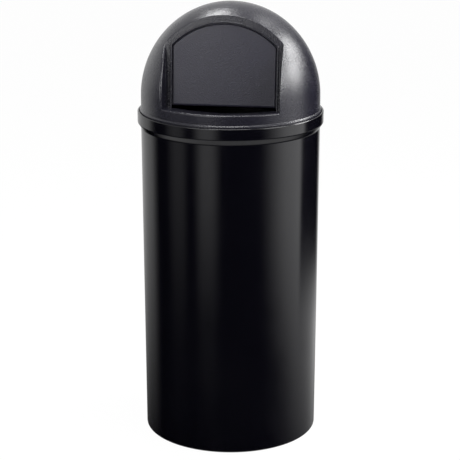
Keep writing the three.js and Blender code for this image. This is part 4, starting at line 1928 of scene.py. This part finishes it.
@dataclass
class Studio:
    """The pale floor, the soft light and the camera.

    Attributes:
        azimuth: The camera's turn round the receptacle, in degrees.
        elevation: Its angle above the level, in degrees.
        distance: From the camera to its target.
        target_height: The target's height.
        target_right: How far right of the axis the target is.
        lens: The camera's focal length in millimetres.
    """

    azimuth: float = 8.4
    elevation: float = 16.5
    distance: float = 3.4
    target_height: float = 0.4365
    target_right: float = -0.0013
    lens: float = 124.0
    floor_radius: float = 14.0
    lamps: tuple[Lamp, ...] = (
        Lamp("right_bank", (1.89, 0.7, 1.66), (0, 0, 0.82), (0.7, 1.75), 58, math.radians(-54)),
        Lamp("rear_bank", (-0.56, 1.03, 2.66), (0, 0, 0.82), (0.6, 0.42), 21),
        Lamp("shoulder", (0.84, 1.21, 2.43), (0, 0, 0.82), (0.5, 0.5), 4),
        Lamp("overhead", (0, -0.25, 2.9), (0, -0.1, 0.7), (1.1, 0.8), 30),
        Lamp("front_left", (-0.65, -1.35, 1.2), (0, -0.1, 0.85), (0.9, 0.7), 8.5),
        Lamp("right_front", (1.4, -0.72, 1.42), (0, -0.1, 0.82), (0.9, 0.8), 20),
    )

    def camera(self) -> None:
        """Adds the camera and makes it the scene's."""
        azimuth, elevation = math.radians(self.azimuth), math.radians(self.elevation)
        back = Vector(
            (
                math.sin(azimuth) * math.cos(elevation),
                -math.cos(azimuth) * math.cos(elevation),
                math.sin(elevation),
            )
        )
        right = Vector((math.cos(azimuth), math.sin(azimuth), 0))
        target = right * self.target_right + Vector((0, 0, self.target_height))
        data = bpy.data.cameras.new("camera")
        data.lens = self.lens
        data.sensor_width = 36.0
        data.clip_end = 100.0
        camera = bpy.data.objects.new("camera", data)
        camera.location = target + back * self.distance
        camera.rotation_euler = (-back).to_track_quat("-Z", "Y").to_euler()
        bpy.context.scene.collection.objects.link(camera)
        bpy.context.scene.camera = camera

    def floor(self) -> None:
        """Adds the pale floor, a wide disc with a thin edge."""
        profile = [(0, -20 * MM), (self.floor_radius, -20 * MM), (self.floor_radius, 0), (0, 0)]
        floor = Bench.turned("floor", profile, 96)
        material = bpy.data.materials.new("pale_floor")
        material.use_nodes = True
        graph = Graph(material.node_tree)
        place = graph.place()
        cloud = graph.noise(place, 3, 3)
        colour = graph.blend(cloud, (0.86, 0.86, 0.86, 1), (0.9, 0.9, 0.9, 1))
        matt = graph.add("ShaderNodeBsdfDiffuse", {}, {"Color": colour})
        glow = graph.add("ShaderNodeEmission", {}, {"Color": (1, 1, 1, 1), "Strength": 1.0})
        seen = graph.add("ShaderNodeLightPath", output="Is Camera Ray")
        shader = graph.add("ShaderNodeMixShader", {}, {0: seen * 0.97, 1: matt, 2: glow})
        graph.add("ShaderNodeOutputMaterial", {}, {"Surface": shader})
        floor.data.materials.append(material)
        floor.visible_glossy = False
        floor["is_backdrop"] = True

    def bearing(self, graph: Graph) -> tuple[Wire, Wire]:
        """The direction of a ray that leaves the scene, in degrees.

        Args:
            graph: The world's graph.

        Returns:
            The bearing, clockwise from above and 0 towards the camera, and the rise.
        """
        ray = graph.add("ShaderNodeTexCoord", output="Generated")
        turned = graph.add(
            "ShaderNodeMapping", {}, {"Vector": ray, "Rotation": (0, 0, -math.radians(self.azimuth))}
        )
        across = graph.add("ShaderNodeSeparateXYZ", {}, {0: turned}, "X")
        along = graph.add("ShaderNodeSeparateXYZ", {}, {0: turned}, "Y")
        height = graph.add("ShaderNodeSeparateXYZ", {}, {0: turned}, "Z")
        settings = {"operation": "ARCTAN2"}
        turn = graph.add("ShaderNodeMath", settings, {0: across, 1: 0 - along})
        rise = graph.add("ShaderNodeMath", {"operation": "ARCSINE"}, {0: height})
        return turn * math.degrees(1), rise * math.degrees(1)

    def cards(self, graph: Graph) -> Wire:
        """What glossy surfaces see round the receptacle: a white sweep, cards and dark gaps.

        Args:
            graph: The world's graph.

        Returns:
            The strength by direction.
        """
        turn, rise = self.bearing(graph)
        shift = rise.ramp(-25, -17, 35, 0)
        right = (turn - shift).ramp(35, 80) * rise.ramp(-29, -10, 0, 1.8) * rise.ramp(-9, 12, 1, 0.15)
        back = turn.ramp(150, 178)
        flag = turn.ramp(99, 107) * (1 - back) * rise.ramp(-20.5, -17) * rise.ramp(8, 24, 1, 0)
        wall = rise.ramp(-26, -12, 0, 0.7) * rise.ramp(0, 20, 1, 0.4)
        rear = (back + turn.ramp(-125, -105, 1, 0)) * wall
        strip = turn.ramp(-50, -34) * turn.ramp(-26, -10, 1, 0) * rise.ramp(-21, -13, 0, 0.95)
        strip = strip * rise.ramp(-11, -5, 1, 0.2)
        faint = turn.ramp(-92, -72) * turn.ramp(-66, -54, 1, 0) * rise.ramp(-22, -12, 0, 0.38)
        front = turn.ramp(-75, -45) * turn.ramp(15, 45, 1, 0) * rise.ramp(4, 18, 1, 0)
        sky = rise.ramp(-8, 6, 0, 0.42) * (1 - flag) * (1 - front * 0.75)
        below = rise.ramp(-55, -35, 0.6, 0)
        return right * (1 - flag) * (1 - back) + rear + strip + faint + sky + below

    def world(self) -> None:
        """A white surround for the camera, cards for gloss, and a plain soft one for the rest."""
        world = bpy.data.worlds.new("studio")
        world.use_nodes = True
        bpy.context.scene.world = world
        graph = Graph(world.node_tree)
        camera = graph.add("ShaderNodeLightPath", output="Is Camera Ray")
        glossy = graph.add("ShaderNodeLightPath", output="Is Glossy Ray")
        through = graph.add("ShaderNodeLightPath", output="Is Transmission Ray")
        soft = 0.55 * (1 - camera) * (1 - glossy) * (1 - through)
        strength = camera + through + glossy * self.cards(graph) + soft
        shade = graph.add("ShaderNodeBackground", {}, {"Color": (1, 1, 1, 1), "Strength": strength})
        graph.add("ShaderNodeOutputWorld", {}, {"Surface": shade})

    def build(self) -> None:
        """Builds the studio."""
        self.camera()
        self.floor()
        self.world()
        for lamp in self.lamps:
            lamp.hang()
        bpy.context.scene.view_settings.view_transform = "Standard"
        LOG.info("studio with %d lamps", len(self.lamps))


def main() -> None:
    """Builds every sub-assembly in order, then the studio."""
    logging.basicConfig(level=logging.INFO, format="%(name)s: %(message)s")
    wardrobe = Wardrobe()
    for made in (
        Container(wardrobe),
        BagRing(wardrobe),
        DomeLid(wardrobe),
        PushDoor(wardrobe),
        Hinge(wardrobe),
    ):
        made.build()
        LOG.info("%s: %d pieces", type(made).__name__, len(made.pieces))
    Studio().build()
    boxes = {"cad": CAD_BOX, "visual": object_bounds()}
    plain = {name: [[float(v) for v in corner] for corner in box] for name, box in boxes.items()}


if __name__ == "__main__":
    main()
